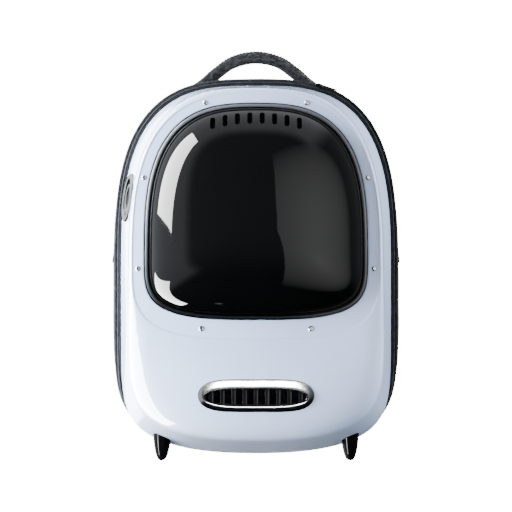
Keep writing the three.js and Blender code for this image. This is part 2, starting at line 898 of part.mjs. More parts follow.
// The webbing leaves the strap's end through the adjuster and is sewn to the body's lower side
function lowerWebbing(side) {
  const whole = routeCurve(webbingRoute, side);
  const start = 0.06;
  const free = new THREE.CatmullRomCurve3(
    Array.from({ length: 9 }, (_, k) => whole.getPoint(start + (k / 8) * (1 - start))));
  const web = strip(free, 8, sideways, webbingWidth, webbingThickness);
  return cut(web, bodyBlock(clearance));
}

function strapAdjuster(side) {
  const curve = routeCurve(webbingRoute, side);
  const end = curve.getPoint(0);
  const along = curve.getTangent(0.08).normalize();
  const width = webbingWidth + 2 * adjusterMargin;
  const ring = new THREE.BoxGeometry(width, adjusterHeight, adjusterThickness);
  const mouth = new THREE.BoxGeometry(
    webbingWidth + adjusterSlot, 1.2 * adjusterHeight, adjusterSlot);
  const buckle = cut(ring, mouth);
  const across = sideways.clone().addScaledVector(along, -along.x).normalize();
  const through = across.clone().cross(along);
  const centre = end.addScaledVector(along, adjusterHeight / 2 + 4 * clearance);
  return buckle.applyMatrix4(
    new THREE.Matrix4().makeBasis(across, along, through).setPosition(centre));
}

// Fin-shaped foot, narrow and rounded at the floor: shares of its height, width and length
const footSections = [
  { high: 0, wide: 0.22, long: 0.8 },
  { high: 0.05, wide: 0.4, long: 0.88 },
  { high: 0.17, wide: 0.54, long: 0.94 },
  { high: 0.39, wide: 0.72, long: 0.98 },
  { high: 0.68, wide: 0.9, long: 1 },
  { high: 1, wide: 1, long: 1 },
  { high: 2, wide: 1, long: 1 },
];

// The rake carries the sole forward or back from under the foot's root. The foot ends where it meets
// the block that it is screwed to.
function foot(x, depth, rake, block) {
  const sides = 12;
  const squared = (value) => Math.sign(value) * Math.abs(value) ** 0.7;
  const rings = footSections.map((row) => Array.from({ length: sides }, (_, k) => {
    const turn = (k / sides) * 2 * Math.PI;
    return new THREE.Vector3(
      x + (footWidth / 2) * row.wide * squared(Math.cos(turn)),
      depth + rake * (1 - Math.min(1, row.high)) + (footLength / 2) * row.long * squared(Math.sin(turn)),
      row.high * footHeight);
  }));
  return cut(loft(rings), block);
}

// Materials
const finish = (color, roughness, metalness = 0) => new THREE.MeshStandardMaterial(
  { color, roughness, metalness });
const finishes = {
  shell: () => finish(0xdde4ee, 0.12),
  smoke: () => finish(0x1a1b1c, 0.08),
  trim: () => finish(0x9a9ca2, 0.3),
  chrome: () => finish(0xd8d8da, 0.12, 1),
  black: () => finish(0x0d0d0e, 0.25),
  fabric: () => finish(0x4b4e52, 0.9),
  mesh: () => finish(0x26282a, 0.85),
  binding: () => finish(0x6a6c70, 0.75),
  padding: () => finish(0x3c3f42, 0.92),
  webbing: () => finish(0x2a2c2f, 0.8),
};

const carrier = new THREE.Group();

function add(name, geometry, material) {
  const mesh = new THREE.Mesh(geometry, finishes[material]());
  mesh.name = name;
  carrier.add(mesh);
  return mesh;
}

add('front_shell', frontShell(), 'shell');
add('bubble_window', bubble(), 'smoke');
add('window_trim', windowTrim(), 'trim');
screwPlaces.forEach((place, k) => {
  const mesh = add(`screw_${k + 1}`, screw(), 'chrome');
  mesh.position.copy(place.point);
  mesh.quaternion.setFromUnitVectors(new THREE.Vector3(0, 1, 0), place.axis);
});
add('grille_bezel', grilleBezel(), 'chrome');
add('grille_insert', grilleInsert(), 'black');
add('side_vent_ring', ventRing(), 'chrome');
add('side_vent_disc', ventDisc(), 'black');
add('zipper_tape', zipperTape(), 'webbing');
add('zipper_coil', ringTube(coilOutline, coilDepth, coilDiameter), 'binding');
add('zipper_slider', zipperSlider(), 'black');
add('body_piping', ringTube(pipingOutline, pipingDepth, pipingDiameter), 'binding');
add('fabric_body', fabricBody(), 'fabric');
add('carry_handle', carryHandle(), 'padding');
add('back_panel', backPanel(), 'padding');
for (const [name, side] of [['left', -1], ['right', 1]]) {
  add(`mesh_panel_${name}`, meshPanel(side), 'mesh');
  add(`shoulder_strap_${name}`, shoulderStrap(side), 'padding');
  add(`strap_adjuster_${name}`, strapAdjuster(side), 'black');
  add(`lower_webbing_${name}`, lowerWebbing(side), 'webbing');
  const frontFoot = foot(
    (side * frontFootSpacing) / 2, frontFootDepth, -footRake, shellCutter());
  const rearFoot = foot(
    (side * rearFootSpacing) / 2, rearFootDepth, footRake, bodyBlock(clearance));
  add(`front_foot_${name}`, frontFoot, 'black');
  add(`rear_foot_${name}`, rearFoot, 'black');
}

// The origin lies under the middle of the whole carrier
const box = new THREE.Box3().setFromObject(carrier);
carrier.position.set(-(box.min.x + box.max.x) / 2, -(box.min.y + box.max.y) / 2, 0);

export default carrier;
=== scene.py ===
"""Bubble pet carrier backpack: the looks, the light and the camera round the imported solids.

Forms are worked out in millimetres, with depths counted from the rim plane, where the shell meets the
fabric. They are moved to the frame's metres when a mesh is made.
"""

import json
import math
from collections import namedtuple

import bmesh
import bpy
import numpy as np
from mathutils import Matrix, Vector, noise

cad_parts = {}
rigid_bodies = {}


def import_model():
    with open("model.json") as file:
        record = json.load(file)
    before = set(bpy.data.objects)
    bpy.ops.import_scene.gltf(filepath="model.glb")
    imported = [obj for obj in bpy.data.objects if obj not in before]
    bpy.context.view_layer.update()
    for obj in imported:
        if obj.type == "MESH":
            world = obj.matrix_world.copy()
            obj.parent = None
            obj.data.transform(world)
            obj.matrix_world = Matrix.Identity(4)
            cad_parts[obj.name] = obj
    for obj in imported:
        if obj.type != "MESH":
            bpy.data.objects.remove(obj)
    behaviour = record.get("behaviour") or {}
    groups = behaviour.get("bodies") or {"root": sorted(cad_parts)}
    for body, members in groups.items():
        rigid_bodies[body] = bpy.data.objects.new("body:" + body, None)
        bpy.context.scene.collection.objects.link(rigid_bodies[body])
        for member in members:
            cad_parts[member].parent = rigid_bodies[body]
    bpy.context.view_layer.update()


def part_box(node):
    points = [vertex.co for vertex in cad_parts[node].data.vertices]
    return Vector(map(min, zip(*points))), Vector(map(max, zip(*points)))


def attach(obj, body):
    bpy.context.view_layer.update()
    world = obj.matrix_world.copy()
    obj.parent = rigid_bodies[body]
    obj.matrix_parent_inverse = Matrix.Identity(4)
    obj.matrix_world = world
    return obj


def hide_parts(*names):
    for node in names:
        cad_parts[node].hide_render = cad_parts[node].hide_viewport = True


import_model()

MILLIMETRE = 0.001
RIM_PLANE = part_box("front_shell")[1].y

# Gap that neighbouring pieces keep
CLEARANCE = 0.3

# Front shell
SHELL_WALL = 2.6
SHELL_DEPTH = 100
FACE_LEAN = 33
FACE_CROWN = 8
CHIN_BULGE = 16
SHOULDER_DEPTH = 14
SHOULDER_REACH = 34
FRAME_SUNK = 0.8
LIP_RADIUS = 1.3

# Bubble window and trim
BUBBLE_HEIGHT = 55
BUBBLE_WALL = 2.2
BUBBLE_FLANGE = 10
TRIM_WIDTH = 3.8
TRIM_GAP = 1
SLOTS = 8
SLOT_WIDTH = 5.4
SLOT_HEIGHT = 13.4
SLOT_PITCH = 13.4
SLOT_DROP = 18.5
SLOT_ARC = 190

# Grille
BEZEL = (125, 35, (5, 2))
GRILLE = (112, 19, (3.5, 2))
BEZEL_HEIGHT = 77.5
BEZEL_PROUD = 4.5
GRILLE_HEIGHT = 75.7
GRILLE_SUNK = 3.6
GRILLE_DEPTH = 7
RIBS = 9
RIB_PITCH = 12
RIB_WIDTH = 4.7

# Side vent
VENT_HEIGHT = 293
VENT_OUTER = 27
VENT_INNER = 21
VENT_LOUVRES = 5
LOUVRE_PITCH = 4.2

# Zip, fabric body and its net windows
TAPE_DEPTH = 10
TAPE_WALL = 2
COIL_SHARE = 0.42
COIL_DIAMETER = 3.8
TEETH = 620
PIPING_DIAMETER = 4.2
BODY_START = 10.3
BODY_DEPTH = 101
BODY_WALL = 3
BACK_ROUND = 24
NET_FRONT = 14
NET_DEPTH = 66
NET_BOTTOM = 222
NET_HEIGHT = 140
NET_CORNER = 14
NET_PITCH = 5.2

# Handle, back panel and straps
HANDLE_RISE = 26
HANDLE_HALF_SPAN = 66
HANDLE_WIDTH = 28
HANDLE_THICKNESS = 14
HANDLE_BACK = 50
PANEL = (192, 292, (4, 5))
PANEL_LIFT = 74
PANEL_THICKNESS = 10
EDGING_RADIUS = 2
STRAP_BOW = 36
STRAP_WIDTH = 54
STRAP_THICKNESS = 12
WEBBING_WIDTH = 25
WEBBING_THICKNESS = 2.4
ADJUSTER_LENGTH = 26
ADJUSTER_THICKNESS = 7

# Feet
FOOT_WIDTH = 20
FOOT_LENGTH = 34
FOOT_HEIGHT = 28
FOOT_RAKE = 5

# Half the spacing and the depth of each pair of feet
FRONT_FOOT = (105, -18.5)
REAR_FOOT = (110.5, 88)

# Points round each ring
AROUND = 220

# Outlines

Outline = namedtuple("Outline", "half bottom top middle upper lower")


def outline(half, bottom, top, middle_share, upper, lower):
    """Two half superellipses that share their width at the height called middle."""
    return Outline(half, bottom, top, bottom + (top - bottom) * middle_share, upper, lower)


def grown(shape, amount):
    return shape._replace(
        half=shape.half + amount, bottom=shape.bottom - amount, top=shape.top + amount)


def blend(a, b, share):
    return a + (b - a) * share


def mixed(a, b, share):
    return Outline(
        blend(a.half, b.half, share), blend(a.bottom, b.bottom, share), blend(a.top, b.top, share),
        blend(a.middle, b.middle, share),
        tuple(blend(x, y, share) for x, y in zip(a.upper, b.upper)),
        tuple(blend(x, y, share) for x, y in zip(a.lower, b.lower)))


RIM = outline(152.4, 4, 419.4, 0.485, (3.05, 3.05), (2.3, 8))
SHOULDER = outline(139.5, 27, 411.9, 0.465, (2.95, 2.95), (2.4, 7))
CREASE = outline(135, 136, 406.4, 0.34, (2.75, 2.75), (3.4, 4))
WINDOW = outline(122, 158, 394.8, 0.328, (2.85, 2.85), (3.2, 4.6))
SEAM = RIM._replace(bottom=RIM.bottom + 7)
SEAM_START = grown(SEAM, -0.5)
BODY_FRONT = grown(SEAM._replace(bottom=SEAM.bottom + 5, lower=(2.3, 6.5)), 3)
BELLY = outline(164.4, 12, 431, 0.475, (2.75, 2.75), (2.3, 6))
HUB = blend(WINDOW.bottom, WINDOW.top, 0.46)


def section(shape, z):
    """An outline's half height and its two powers above or below its widest place."""
    above = z > shape.middle
    height = np.where(above, shape.top - shape.middle, shape.middle - shape.bottom)
    p, q = (np.where(above, high, low) for high, low in zip(shape.upper, shape.lower))
    return height, p, q


def reach(shape, angles, hub=HUB):
    """Distance from a point on the middle plane to the outline, along each direction."""
    across, up = np.cos(angles), np.sin(angles)
    inside = np.zeros_like(angles)
    outside = np.full_like(angles, 2 * (shape.half + shape.top - shape.bottom))
    for _ in range(44):
        distance = (inside + outside) / 2
        z = hub + distance * up
        height, p, q = section(shape, z)
        value = (np.abs(distance * across) / shape.half) ** p
        value += (np.abs(z - shape.middle) / height) ** q
        inside = np.where(value < 1, distance, inside)
        outside = np.where(value < 1, outside, distance)
    return inside


def ray_points(distance, angles, depth=0.0):
    x = distance * np.cos(angles)
    z = HUB + distance * np.sin(angles)
    y = depth(x, z) if callable(depth) else np.full_like(x, depth)
    return np.stack([x, y, z], axis=-1)


def even_angles(shape, count):
    """Ray angles that cut an outline into stretches of equal length, from the top."""
    dense = math.pi / 2 + np.linspace(0, 2 * math.pi, 1441)
    points = ray_points(reach(shape, dense), dense)
    lengths = np.concatenate([[0], np.cumsum(np.linalg.norm(np.diff(points, axis=0), axis=1))])
    return np.interp(np.arange(count) / count * lengths[-1], lengths, dense)


def spline(points, count):
    """Centripetal Catmull-Rom curve through the points."""
    points = [np.asarray(p, float) for p in points]
    ends = [2 * points[0] - points[1], *points, 2 * points[-1] - points[-2]]
    samples = []
    for t in np.linspace(0, len(points) - 1, count):
        k = min(int(t), len(points) - 2)
        w = t - k
        p0, p1, p2, p3 = ends[k:k + 4]
        d0, d1, d2 = (max(np.linalg.norm(b - a), 1e-9) ** 0.5
                      for a, b in ((p0, p1), (p1, p2), (p2, p3)))
        m1 = ((p1 - p0) / d0 - (p2 - p0) / (d0 + d1) + (p2 - p1) / d1) * d1
        m2 = ((p2 - p1) / d1 - (p3 - p1) / (d1 + d2) + (p3 - p2) / d2) * d1
        bend = 3 * (p2 - p1) - 2 * m1 - m2
        samples.append(p1 + m1 * w + bend * w ** 2 + (2 * (p1 - p2) + m1 + m2) * w ** 3)
    return np.array(samples)


ANGLES = even_angles(RIM, AROUND)


def ring(shape, depth, angles=ANGLES):
    return ray_points(reach(shape, angles), angles, depth)


# The chin's bulge in front of the leaning face: down from the window frame, share of the bulge
CHIN = spline([(0, 0), (0.1, 0.34), (0.28, 0.82), (0.48, 1), (0.7, 0.9), (0.88, 0.55), (1, 0.2)], 800)


def face_depth(x, z):
    up = np.clip((z - CREASE.bottom) / (CREASE.top - CREASE.bottom), 0, 1.1)
    down = np.clip((CREASE.bottom - z) / (CREASE.bottom - RIM.bottom), 0, 1)
    side = np.minimum(1, np.abs(x) / RIM.half)
    bulge = CHIN_BULGE * np.interp(down, CHIN[:, 0], CHIN[:, 1]) * (1 - side ** 3)
    return -SHELL_DEPTH + FACE_LEAN * up + FACE_CROWN * (x / CREASE.half) ** 2 - bulge


# Meshes

def to_metres(points):
    return (np.asarray(points, float) + (0, RIM_PLANE / MILLIMETRE, 0)) * MILLIMETRE


def skin(rings, wrap=False):
    """Points, faces and UVs in metres over closed rings of equal length, wrapped round or capped."""
    rings = np.array(rings)
    rows, count, _ = rings.shape
    closed = np.concatenate([rings, rings[:, :1]], axis=1)
    steps = np.linalg.norm(np.diff(closed, axis=1), axis=2)
    u = np.concatenate([np.zeros((rows, 1)), np.cumsum(steps, axis=1)], axis=1) * MILLIMETRE
    nexts = np.concatenate([rings[1:], rings[:1]])
    gaps = np.linalg.norm(nexts - rings, axis=2).mean(axis=1)
    v = np.concatenate([[0], np.cumsum(gaps)]) * MILLIMETRE
    points = rings.reshape(-1, 3).tolist()
    faces, uvs = [], []
    for r in range(rows if wrap else rows - 1):
        n = (r + 1) % rows
        for k in range(count):
            s = (k + 1) % count
            faces.append((r * count + k, r * count + s, n * count + s, n * count + k))
            uvs += [(u[r][k], v[r]), (u[r][k + 1], v[r]), (u[n][k + 1], v[r + 1]), (u[n][k], v[r + 1])]
    for r in () if wrap else (0, rows - 1):
        points.append(rings[r].mean(axis=0).tolist())
        for k in range(count):
            faces.append((r * count + k, r * count + (k + 1) % count, len(points) - 1))
            uvs += [(u[r][k], v[r]), (u[r][k + 1], v[r]), (u[r][k], v[r] + 0.004)]
    return points, faces, uvs


def finish(obj, material, slot, *nodes):
    """Gives a piece its material, joins it to the root body and hides the CAD nodes that it stands for. The
    slot argument is not used.
    """
    obj.data.materials.clear()
    obj.data.materials.append(material)
    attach(obj, "root")
    if nodes:
        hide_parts(*nodes)
    return obj


def new_object(name, points, faces, uvs=None, sharp=40):
    mesh = bpy.data.meshes.new(name)
    mesh.from_pydata(to_metres(points).tolist(), [], faces)
    if uvs is not None:
        layer = mesh.uv_layers.new(name="cloth")
        layer.data.foreach_set("uv", np.array(uvs, dtype=np.float32).ravel())
    tool = bmesh.new()
    tool.from_mesh(mesh)
    bmesh.ops.recalc_face_normals(tool, faces=tool.faces)
    tool.to_mesh(mesh)
    tool.free()
    shade(mesh, sharp)
    obj = bpy.data.objects.new(name, mesh)
    bpy.context.scene.collection.objects.link(obj)
    return obj


def shade(mesh, sharp=40):
    mesh.shade_smooth()
    mesh.set_sharp_from_angle(angle=math.radians(sharp))


def settle(obj):
    """Applies the object's modifiers."""
    graph = bpy.context.evaluated_depsgraph_get()
    mesh = bpy.data.meshes.new_from_object(obj.evaluated_get(graph))
    obj.modifiers.clear()
    old = obj.data
    obj.data = mesh
    bpy.data.meshes.remove(old)
    shade(mesh)
    return obj


def combine(obj, other, operation="DIFFERENCE"):
    """Cuts or joins another object's solid, which is used up."""
    step = obj.modifiers.new("step", "BOOLEAN")
    step.operation = operation
    step.solver = "EXACT"
    step.object = other
    settle(obj)
    bpy.data.objects.remove(other)
    return obj


def cut(obj, *parts):
    """Cuts a solid by one or more sets of points and faces."""
    return combine(obj, new_object("cutter", *merged(parts)))


def rounded(obj, width, segments=3):
    step = obj.modifiers.new("round", "BEVEL")
    step.width = width * MILLIMETRE
    step.segments = segments
    step.limit_method = "ANGLE"
    step.angle_limit = math.radians(30)
    return settle(obj)


def offset(rings, distance, wrap=False):
    """Rings moved along their skin's normals, away from the carrier's inside."""
    rings = np.array(rings)
    along = np.roll(rings, -1, axis=1) - np.roll(rings, 1, axis=1)
    down = np.empty_like(rings)
    down[1:-1] = rings[2:] - rings[:-2]
    down[0] = rings[1] - rings[0]
    down[-1] = rings[-1] - rings[-2]
    normals = np.cross(along, down)
    normals /= np.maximum(np.linalg.norm(normals, axis=2, keepdims=True), 1e-9)
    inside = np.array([0, rings[..., 1].max(), HUB])
    facing = (normals * (rings - inside)).sum()
    return rings + normals * distance * np.sign(facing)


def closed(loop):
    return np.vstack([loop, loop[:1]])


def spread(count, pitch):
    """Places in a row at an even pitch, round zero."""
    return [(k - (count - 1) / 2) * pitch for k in range(count)]


def flat_uvs(points, faces, across, up):
    """UVs in metres straight from two of the coordinates."""
    return [(points[k][across] * MILLIMETRE, points[k][up] * MILLIMETRE) for face in faces for k in face]


def prism(loop, low, high, axis=1):
    """A closed loop of points in a plane, drawn out along an axis from low to high."""
    ends = []
    for at in (low, high):
        end = np.array(loop, float)
        end[:, axis] = at
        ends.append(end)
    count = len(loop)
    points = np.concatenate(ends)
    faces = [tuple(range(count)), tuple(range(count, 2 * count))]
    faces += [(k, (k + 1) % count, count + (k + 1) % count, count + k) for k in range(count)]
    return points, faces


def merged(parts):
    """Several sets of points and faces as one."""
    points, faces = [], []
    for some, more in parts:
        start = len(points)
        points += [tuple(p) for p in some]
        faces += [tuple(start + k for k in face) for face in more]
    return points, faces


def turns(count):
    """Even angles round a full circle."""
    return np.arange(count) / count * 2 * math.pi


def squarish(turn, power, width, height):
    """A rounded rectangle's two coordinates at each angle."""
    across, up = np.cos(turn), np.sin(turn)
    return (np.sign(across) * np.abs(across) ** power * width / 2,
            np.sign(up) * np.abs(up) ** power * height / 2)


def oval(width, height, powers, centre, grow=0.0, steps=96):
    """A flattened superellipse in the x, z plane round a height on the middle line."""
    half = height / 2 + grow
    shape = outline(width / 2 + grow, -half, half, 0.5, powers, powers)
    turn = turns(steps)
    angles = np.arctan2(shape.top / shape.half * np.sin(turn), np.cos(turn))
    distance = reach(shape, angles, 0)
    return np.stack(
        [distance * np.cos(angles), np.zeros(steps), centre + distance * np.sin(angles)], axis=-1)


def stadium(width, height, steps=8):
    """An upright slot with round ends, as x, z pairs round its middle."""
    radius = width / 2
    rise = height / 2 - radius
    half = [(radius * math.cos(t), rise + radius * math.sin(t))
            for t in np.linspace(0, math.pi, steps)]
    return half + [(-x, -z) for x, z in half]


def rounded_loop(half_width, half_height, corner, steps):
    """A rectangle with round corners as pairs round its middle."""
    loop = []
    for a, b, start in ((1, 1, 0), (-1, 1, 90), (-1, -1, 180), (1, -1, 270)):
        middle = np.array([a * (half_width - corner), b * (half_height - corner)])
        for t in np.radians(np.linspace(start, start + 90, steps)):
            loop.append(middle + corner * np.array([math.cos(t), math.sin(t)]))
    return np.array(loop)


def lathe(profile, sides):
    """Rings round the +Y axis from radius, height pairs."""
    return np.array([[(r * math.cos(t), y, r * math.sin(t)) for t in turns(sides)] for r, y in profile])


def placed(points, origin, x_axis, y_axis, z_axis):
    """Points of a local frame moved to where the frame stands."""
    frame_axes = np.array([x_axis, y_axis, z_axis], float)
    return np.asarray(points, float) @ frame_axes + origin


def frame_from(axis):
    """Three directions at right angles, with the given axis in the middle."""
    axis = np.asarray(axis, float)
    axis = axis / np.linalg.norm(axis)
    side = np.cross(axis, (0, 0, 1))
    side /= np.linalg.norm(side)
    return side, axis, np.cross(side, axis)


def capsules(name, starts, ends, radius, flat=1.0, ups=None, sides=6):
    """Many short round-ended bars as one mesh: stitches or zip teeth."""
    rows = [(0, 0.45), (0.14, 1), (0.86, 1), (1, 0.45)]
    points, faces = [], []
    for k, (a, b) in enumerate(zip(np.asarray(starts, float), np.asarray(ends, float))):
        along = (b - a) / np.linalg.norm(b - a)
        up = np.asarray(ups[k] if ups is not None else (0, 0, 1), float)
        side = np.cross(along, up)
        side /= max(np.linalg.norm(side), 1e-9)
        up = np.cross(side, along)
        first = len(points)
        for share, size in rows:
            centre = a + (b - a) * share
            for t in turns(sides):
                points.append(centre + radius * size * (side * math.cos(t) + up * math.sin(t) * flat))
        for r in range(3):
            for s in range(sides):
                n = (s + 1) % sides
                low = first + r * sides
                faces.append((low + s, low + n, low + sides + n, low + sides + s))
        faces.append(tuple(first + s for s in range(sides)))
        faces.append(tuple(first + 3 * sides + s for s in range(sides)))
    return new_object(name, points, faces, sharp=60)


def stitches(name, path, ups, length, gap, slot, radius=0.4, flat=0.7):
    """A line of sewing along a path of points."""
    path = np.asarray(path, float)
    ups = np.asarray(ups, float)
    at = np.concatenate([[0], np.cumsum(np.linalg.norm(np.diff(path, axis=0), axis=1))])
    count = max(1, int((at[-1] - gap) // (length + gap)))
    pitch = at[-1] / count

    def along(values, where):
        return np.stack([np.interp(where, at, values[:, c]) for c in range(3)], axis=-1)

    begin = np.arange(count) * pitch + gap / 2
    seam = capsules(
        name, along(path, begin), along(path, begin + pitch - gap), radius, flat, along(ups, begin))
    finish(seam, THREAD, slot)


# Materials

class Nodes:
    """The node tree of a material or world under construction."""

    def __init__(self, owner):
        owner.use_nodes = True
        self.tree = owner.node_tree
        self.tree.nodes.clear()

    def feed(self, node, socket, value):
        if isinstance(value, bpy.types.NodeSocket):
            self.tree.links.new(value, node.inputs[socket])
        else:
            node.inputs[socket].default_value = value

    def node(self, kind, inputs=(), output=0, **settings):
        made = self.tree.nodes.new("ShaderNode" + kind)
        for key, value in settings.items():
            setattr(made, key, value)
        for key, value in dict(inputs).items():
            self.feed(made, key, value)
        return made.outputs[output]

    def math(self, operation, a, b=0.0):
        return self.node("Math", {0: a, 1: b}, operation=operation)

    def output(self, kind, surface):
        self.feed(self.tree.nodes.new("ShaderNodeOutput" + kind), "Surface", surface)


class Shader(Nodes):
    """A material with one Principled surface."""

    def __init__(self, name, **values):
        self.material = bpy.data.materials.new(name)
        super().__init__(self.material)
        self.surface = self.tree.nodes.new("ShaderNodeBsdfPrincipled")
        self.output("Material", self.surface.outputs[0])
        for key, value in values.items():
            self.set(key.replace("_", " ").title().replace("Ior", "IOR"), value)

    def set(self, socket, value):
        self.feed(self.surface, socket, value)

    def ramp(self, value, low, high):
        """The value from low to high, drawn out to 0 to 1."""
        return self.node("MapRange", {"Value": value, "From Min": low, "From Max": high})

    def colours(self, share, first, second):
        return self.node("Mix", {"Factor": share, "A": (*first, 1), "B": (*second, 1)}, 2, data_type="RGBA")

    def noise(self, scale, detail=2.0, coords=None, stretch=None):
        if coords is None:
            coords = self.node("TexCoord", output="Object")
        if stretch:
            coords = self.node("Mapping", {"Vector": coords, "Scale": stretch})
        return self.node("TexNoise", {"Vector": coords, "Scale": scale, "Detail": detail})

    def bump(self, height, distance, strength=1.0):
        self.set("Normal", self.node("Bump", {"Height": height, "Distance": distance, "Strength": strength}))


# The number of the Mix node's second colour socket, which shares its name with others
SECOND_COLOUR = 7


def mix_factor(shader, share, a, b):
    return shader.node("Mix", {"Factor": share, "A": a, "B": b}, 0, data_type="FLOAT")


def gloss_plastic(name, colour, roughness, coat=0.0, peel=0.00002, fade=None, **values):
    """Moulded plastic. Where fade is given, painted shade turns it black between those two heights in metres,
    fully black below the lower one.
    """
    shader = Shader(name, roughness=roughness, coat_weight=coat, **values)
    base = shader.colours(
        shader.ramp(shader.noise(9, 3), 0.3, 0.7), colour, tuple(c * 0.97 for c in colour))
    if fade:
        # Painted shade: below these heights the colour is mixed to black, as if the lower part got no light.
        height = shader.node("SeparateXYZ", {0: shader.node("TexCoord", output="Object")}, "Z")
        high = shader.ramp(height, *fade)
        base = shader.node(
            "Mix", {"Factor": high, "A": (0.004, 0.004, 0.0045, 1), SECOND_COLOUR: base}, 2,
            data_type="RGBA")
    shader.set("Base Color", base)
    scuff = shader.ramp(shader.noise(60, 6), 0.35, 0.75)
    shader.set("Roughness", mix_factor(shader, scuff, roughness, roughness * 1.25 + 0.01))
    shader.bump(shader.noise(140, 2), peel, 0.5)
    return shader.material


def metal(name, colour, roughness, brushed=False):
    shader = Shader(name, metallic=1.0)
    coords = shader.node("TexCoord", output="Object")
    lines = shader.noise(90, 4, coords, (1, 6, 14) if brushed else (1, 1, 1))
    tone = shader.ramp(lines, 0.35, 0.65)
    shader.set("Base Color", shader.colours(tone, colour, tuple(c * 0.9 for c in colour)))
    shader.set("Roughness", mix_factor(shader, tone, roughness * 0.8, roughness * 1.25))
    shader.bump(lines, 0.00004 if brushed else 0.00001, 0.4)
    return shader.material


def cloth(name, dark, light, pitch=0.0011, depth=0.00025, share=0.5, rib=0.0):
    """Woven cloth in two yarn colours, on UVs in metres."""
    shader = Shader(
        name, roughness=0.92, specular_ior_level=0.12, sheen_weight=0.01, sheen_roughness=0.5)
    place = shader.node("UVMap", uv_map="cloth")
    split = shader.tree.nodes.new("ShaderNodeSeparateXYZ")
    shader.tree.links.new(place, split.inputs[0])
    u = shader.math("DIVIDE", split.outputs[0], pitch)
    v = shader.math("DIVIDE", split.outputs[1], pitch)
    wave_u = shader.math("SINE", shader.math("MULTIPLY", u, math.pi))
    wave_v = shader.math("SINE", shader.math("MULTIPLY", v, math.pi))
    weave = shader.math("MULTIPLY", wave_u, wave_v)
    if rib:
        ribs = shader.math("SINE", shader.math("MULTIPLY", split.outputs[0], 2 * math.pi / rib))
        weave = shader.math("ADD", weave, shader.math("MULTIPLY", ribs, 1.6))
    cell = shader.node("CombineXYZ", {
        0: shader.math("FLOOR", u), 1: shader.math("FLOOR", shader.math("MULTIPLY", v, 0.45))})
    yarn = shader.node("TexWhiteNoise", {"Vector": cell}, 0, noise_dimensions="2D")
    cloud = shader.noise(230, 3)
    mottle = shader.math("ADD", shader.math("MULTIPLY", yarn, 0.6), shader.math("MULTIPLY", cloud, 0.8))
    tone = shader.ramp(mottle, 0.2 + 0.5 * (1 - share), 0.95 + 0.3 * (1 - share))
    shader.set("Base Color", shader.colours(tone, dark, light))
    height = shader.math("ADD", shader.math("MULTIPLY", weave, 0.5), shader.math("MULTIPLY", cloud, 0.8))
    shader.bump(height, depth, 0.9)
    return shader.material


SHELL = gloss_plastic("shell_gloss", (0.514, 0.62, 0.86), 0.6, coat=1.0, ior=1.5, coat_ior=1.7,
                      coat_roughness=0.02)
SMOKE = gloss_plastic("smoked_clear", (0.0014, 0.0015, 0.0015), 0.03, ior=1.38)
# The trim's colour is painted black towards its bottom by height: painted shade.
TRIM = gloss_plastic("trim_grey", (0.11, 0.113, 0.12), 0.3, coat=0.5, fade=(0.175, 0.27),
                     ior=1.5, coat_ior=1.5, coat_roughness=0.03)
CHROME = metal("bright_chrome", (0.86, 0.86, 0.87), 0.12)
BRUSHED = metal("brushed_chrome", (0.34, 0.34, 0.345), 0.2, brushed=True)
BLACK = gloss_plastic("black_gloss", (0.0025, 0.0026, 0.0028), 0.07, ior=1.5)
FOOT_GLOSS = gloss_plastic("foot_gloss", (0.0012, 0.0012, 0.0013), 0.07, ior=1.25)
MATTE = gloss_plastic("black_matte", (0.02, 0.02, 0.022), 0.45, peel=0.00006, ior=1.5)
BODY_CLOTH = cloth("body_fabric", (0.004, 0.0042, 0.0047), (0.034, 0.0355, 0.0385), share=0.55)
NET_CLOTH = cloth("side_mesh_fabric", (0.004, 0.0042, 0.0047), (0.02, 0.0205, 0.022), pitch=0.0008)
TAPE_CLOTH = cloth("tape_fabric", (0.002, 0.0021, 0.0023), (0.006, 0.0063, 0.0068), pitch=0.0009, share=0.4)
BINDING = cloth("binding_fabric", (0.008, 0.0083, 0.009), (0.036, 0.037, 0.04), pitch=0.0012, share=0.6)
PADDING = cloth("padded_fabric", (0.004, 0.0042, 0.0046), (0.03, 0.031, 0.0335), share=0.5)
SPACER = cloth("back_mesh_fabric", (0.004, 0.0042, 0.0046), (0.02, 0.021, 0.023), pitch=0.0024, depth=0.0006)
WEBBING = cloth("webbing_fabric", (0.004, 0.0042, 0.0046), (0.016, 0.0165, 0.018), pitch=0.0014, rib=0.0032,
                depth=0.0004)
THREAD = cloth("thread", (0.012, 0.0125, 0.0135), (0.04, 0.0415, 0.045), pitch=0.0005)

# Shell

def wall_ring(share, angles=ANGLES):
    start = ray_points(reach(RIM, angles), angles)
    end = ray_points(reach(SHOULDER, angles), angles, lambda x, z: face_depth(x, z) + SHOULDER_DEPTH)
    return blend(start, end, share)


def shoulder_ring(share, angles=ANGLES):
    outer, inner = reach(SHOULDER, angles), reach(CREASE, angles)
    span = outer - inner
    rolled = np.minimum(1, share * span / np.minimum(span, SHOULDER_REACH))
    points = ray_points(outer - share * span, angles, face_depth)
    points[:, 1] += SHOULDER_DEPTH * (1 - np.sqrt(1 - (1 - rolled) ** 2))
    return points


def frame_ring(share, angles=ANGLES):
    step = min(1, share / 0.12)
    sunk = FRAME_SUNK * step * step * (3 - 2 * step)
    distance = blend(reach(CREASE, angles), reach(WINDOW, angles), share)
    return ray_points(distance, angles, lambda x, z: face_depth(x, z) + sunk)


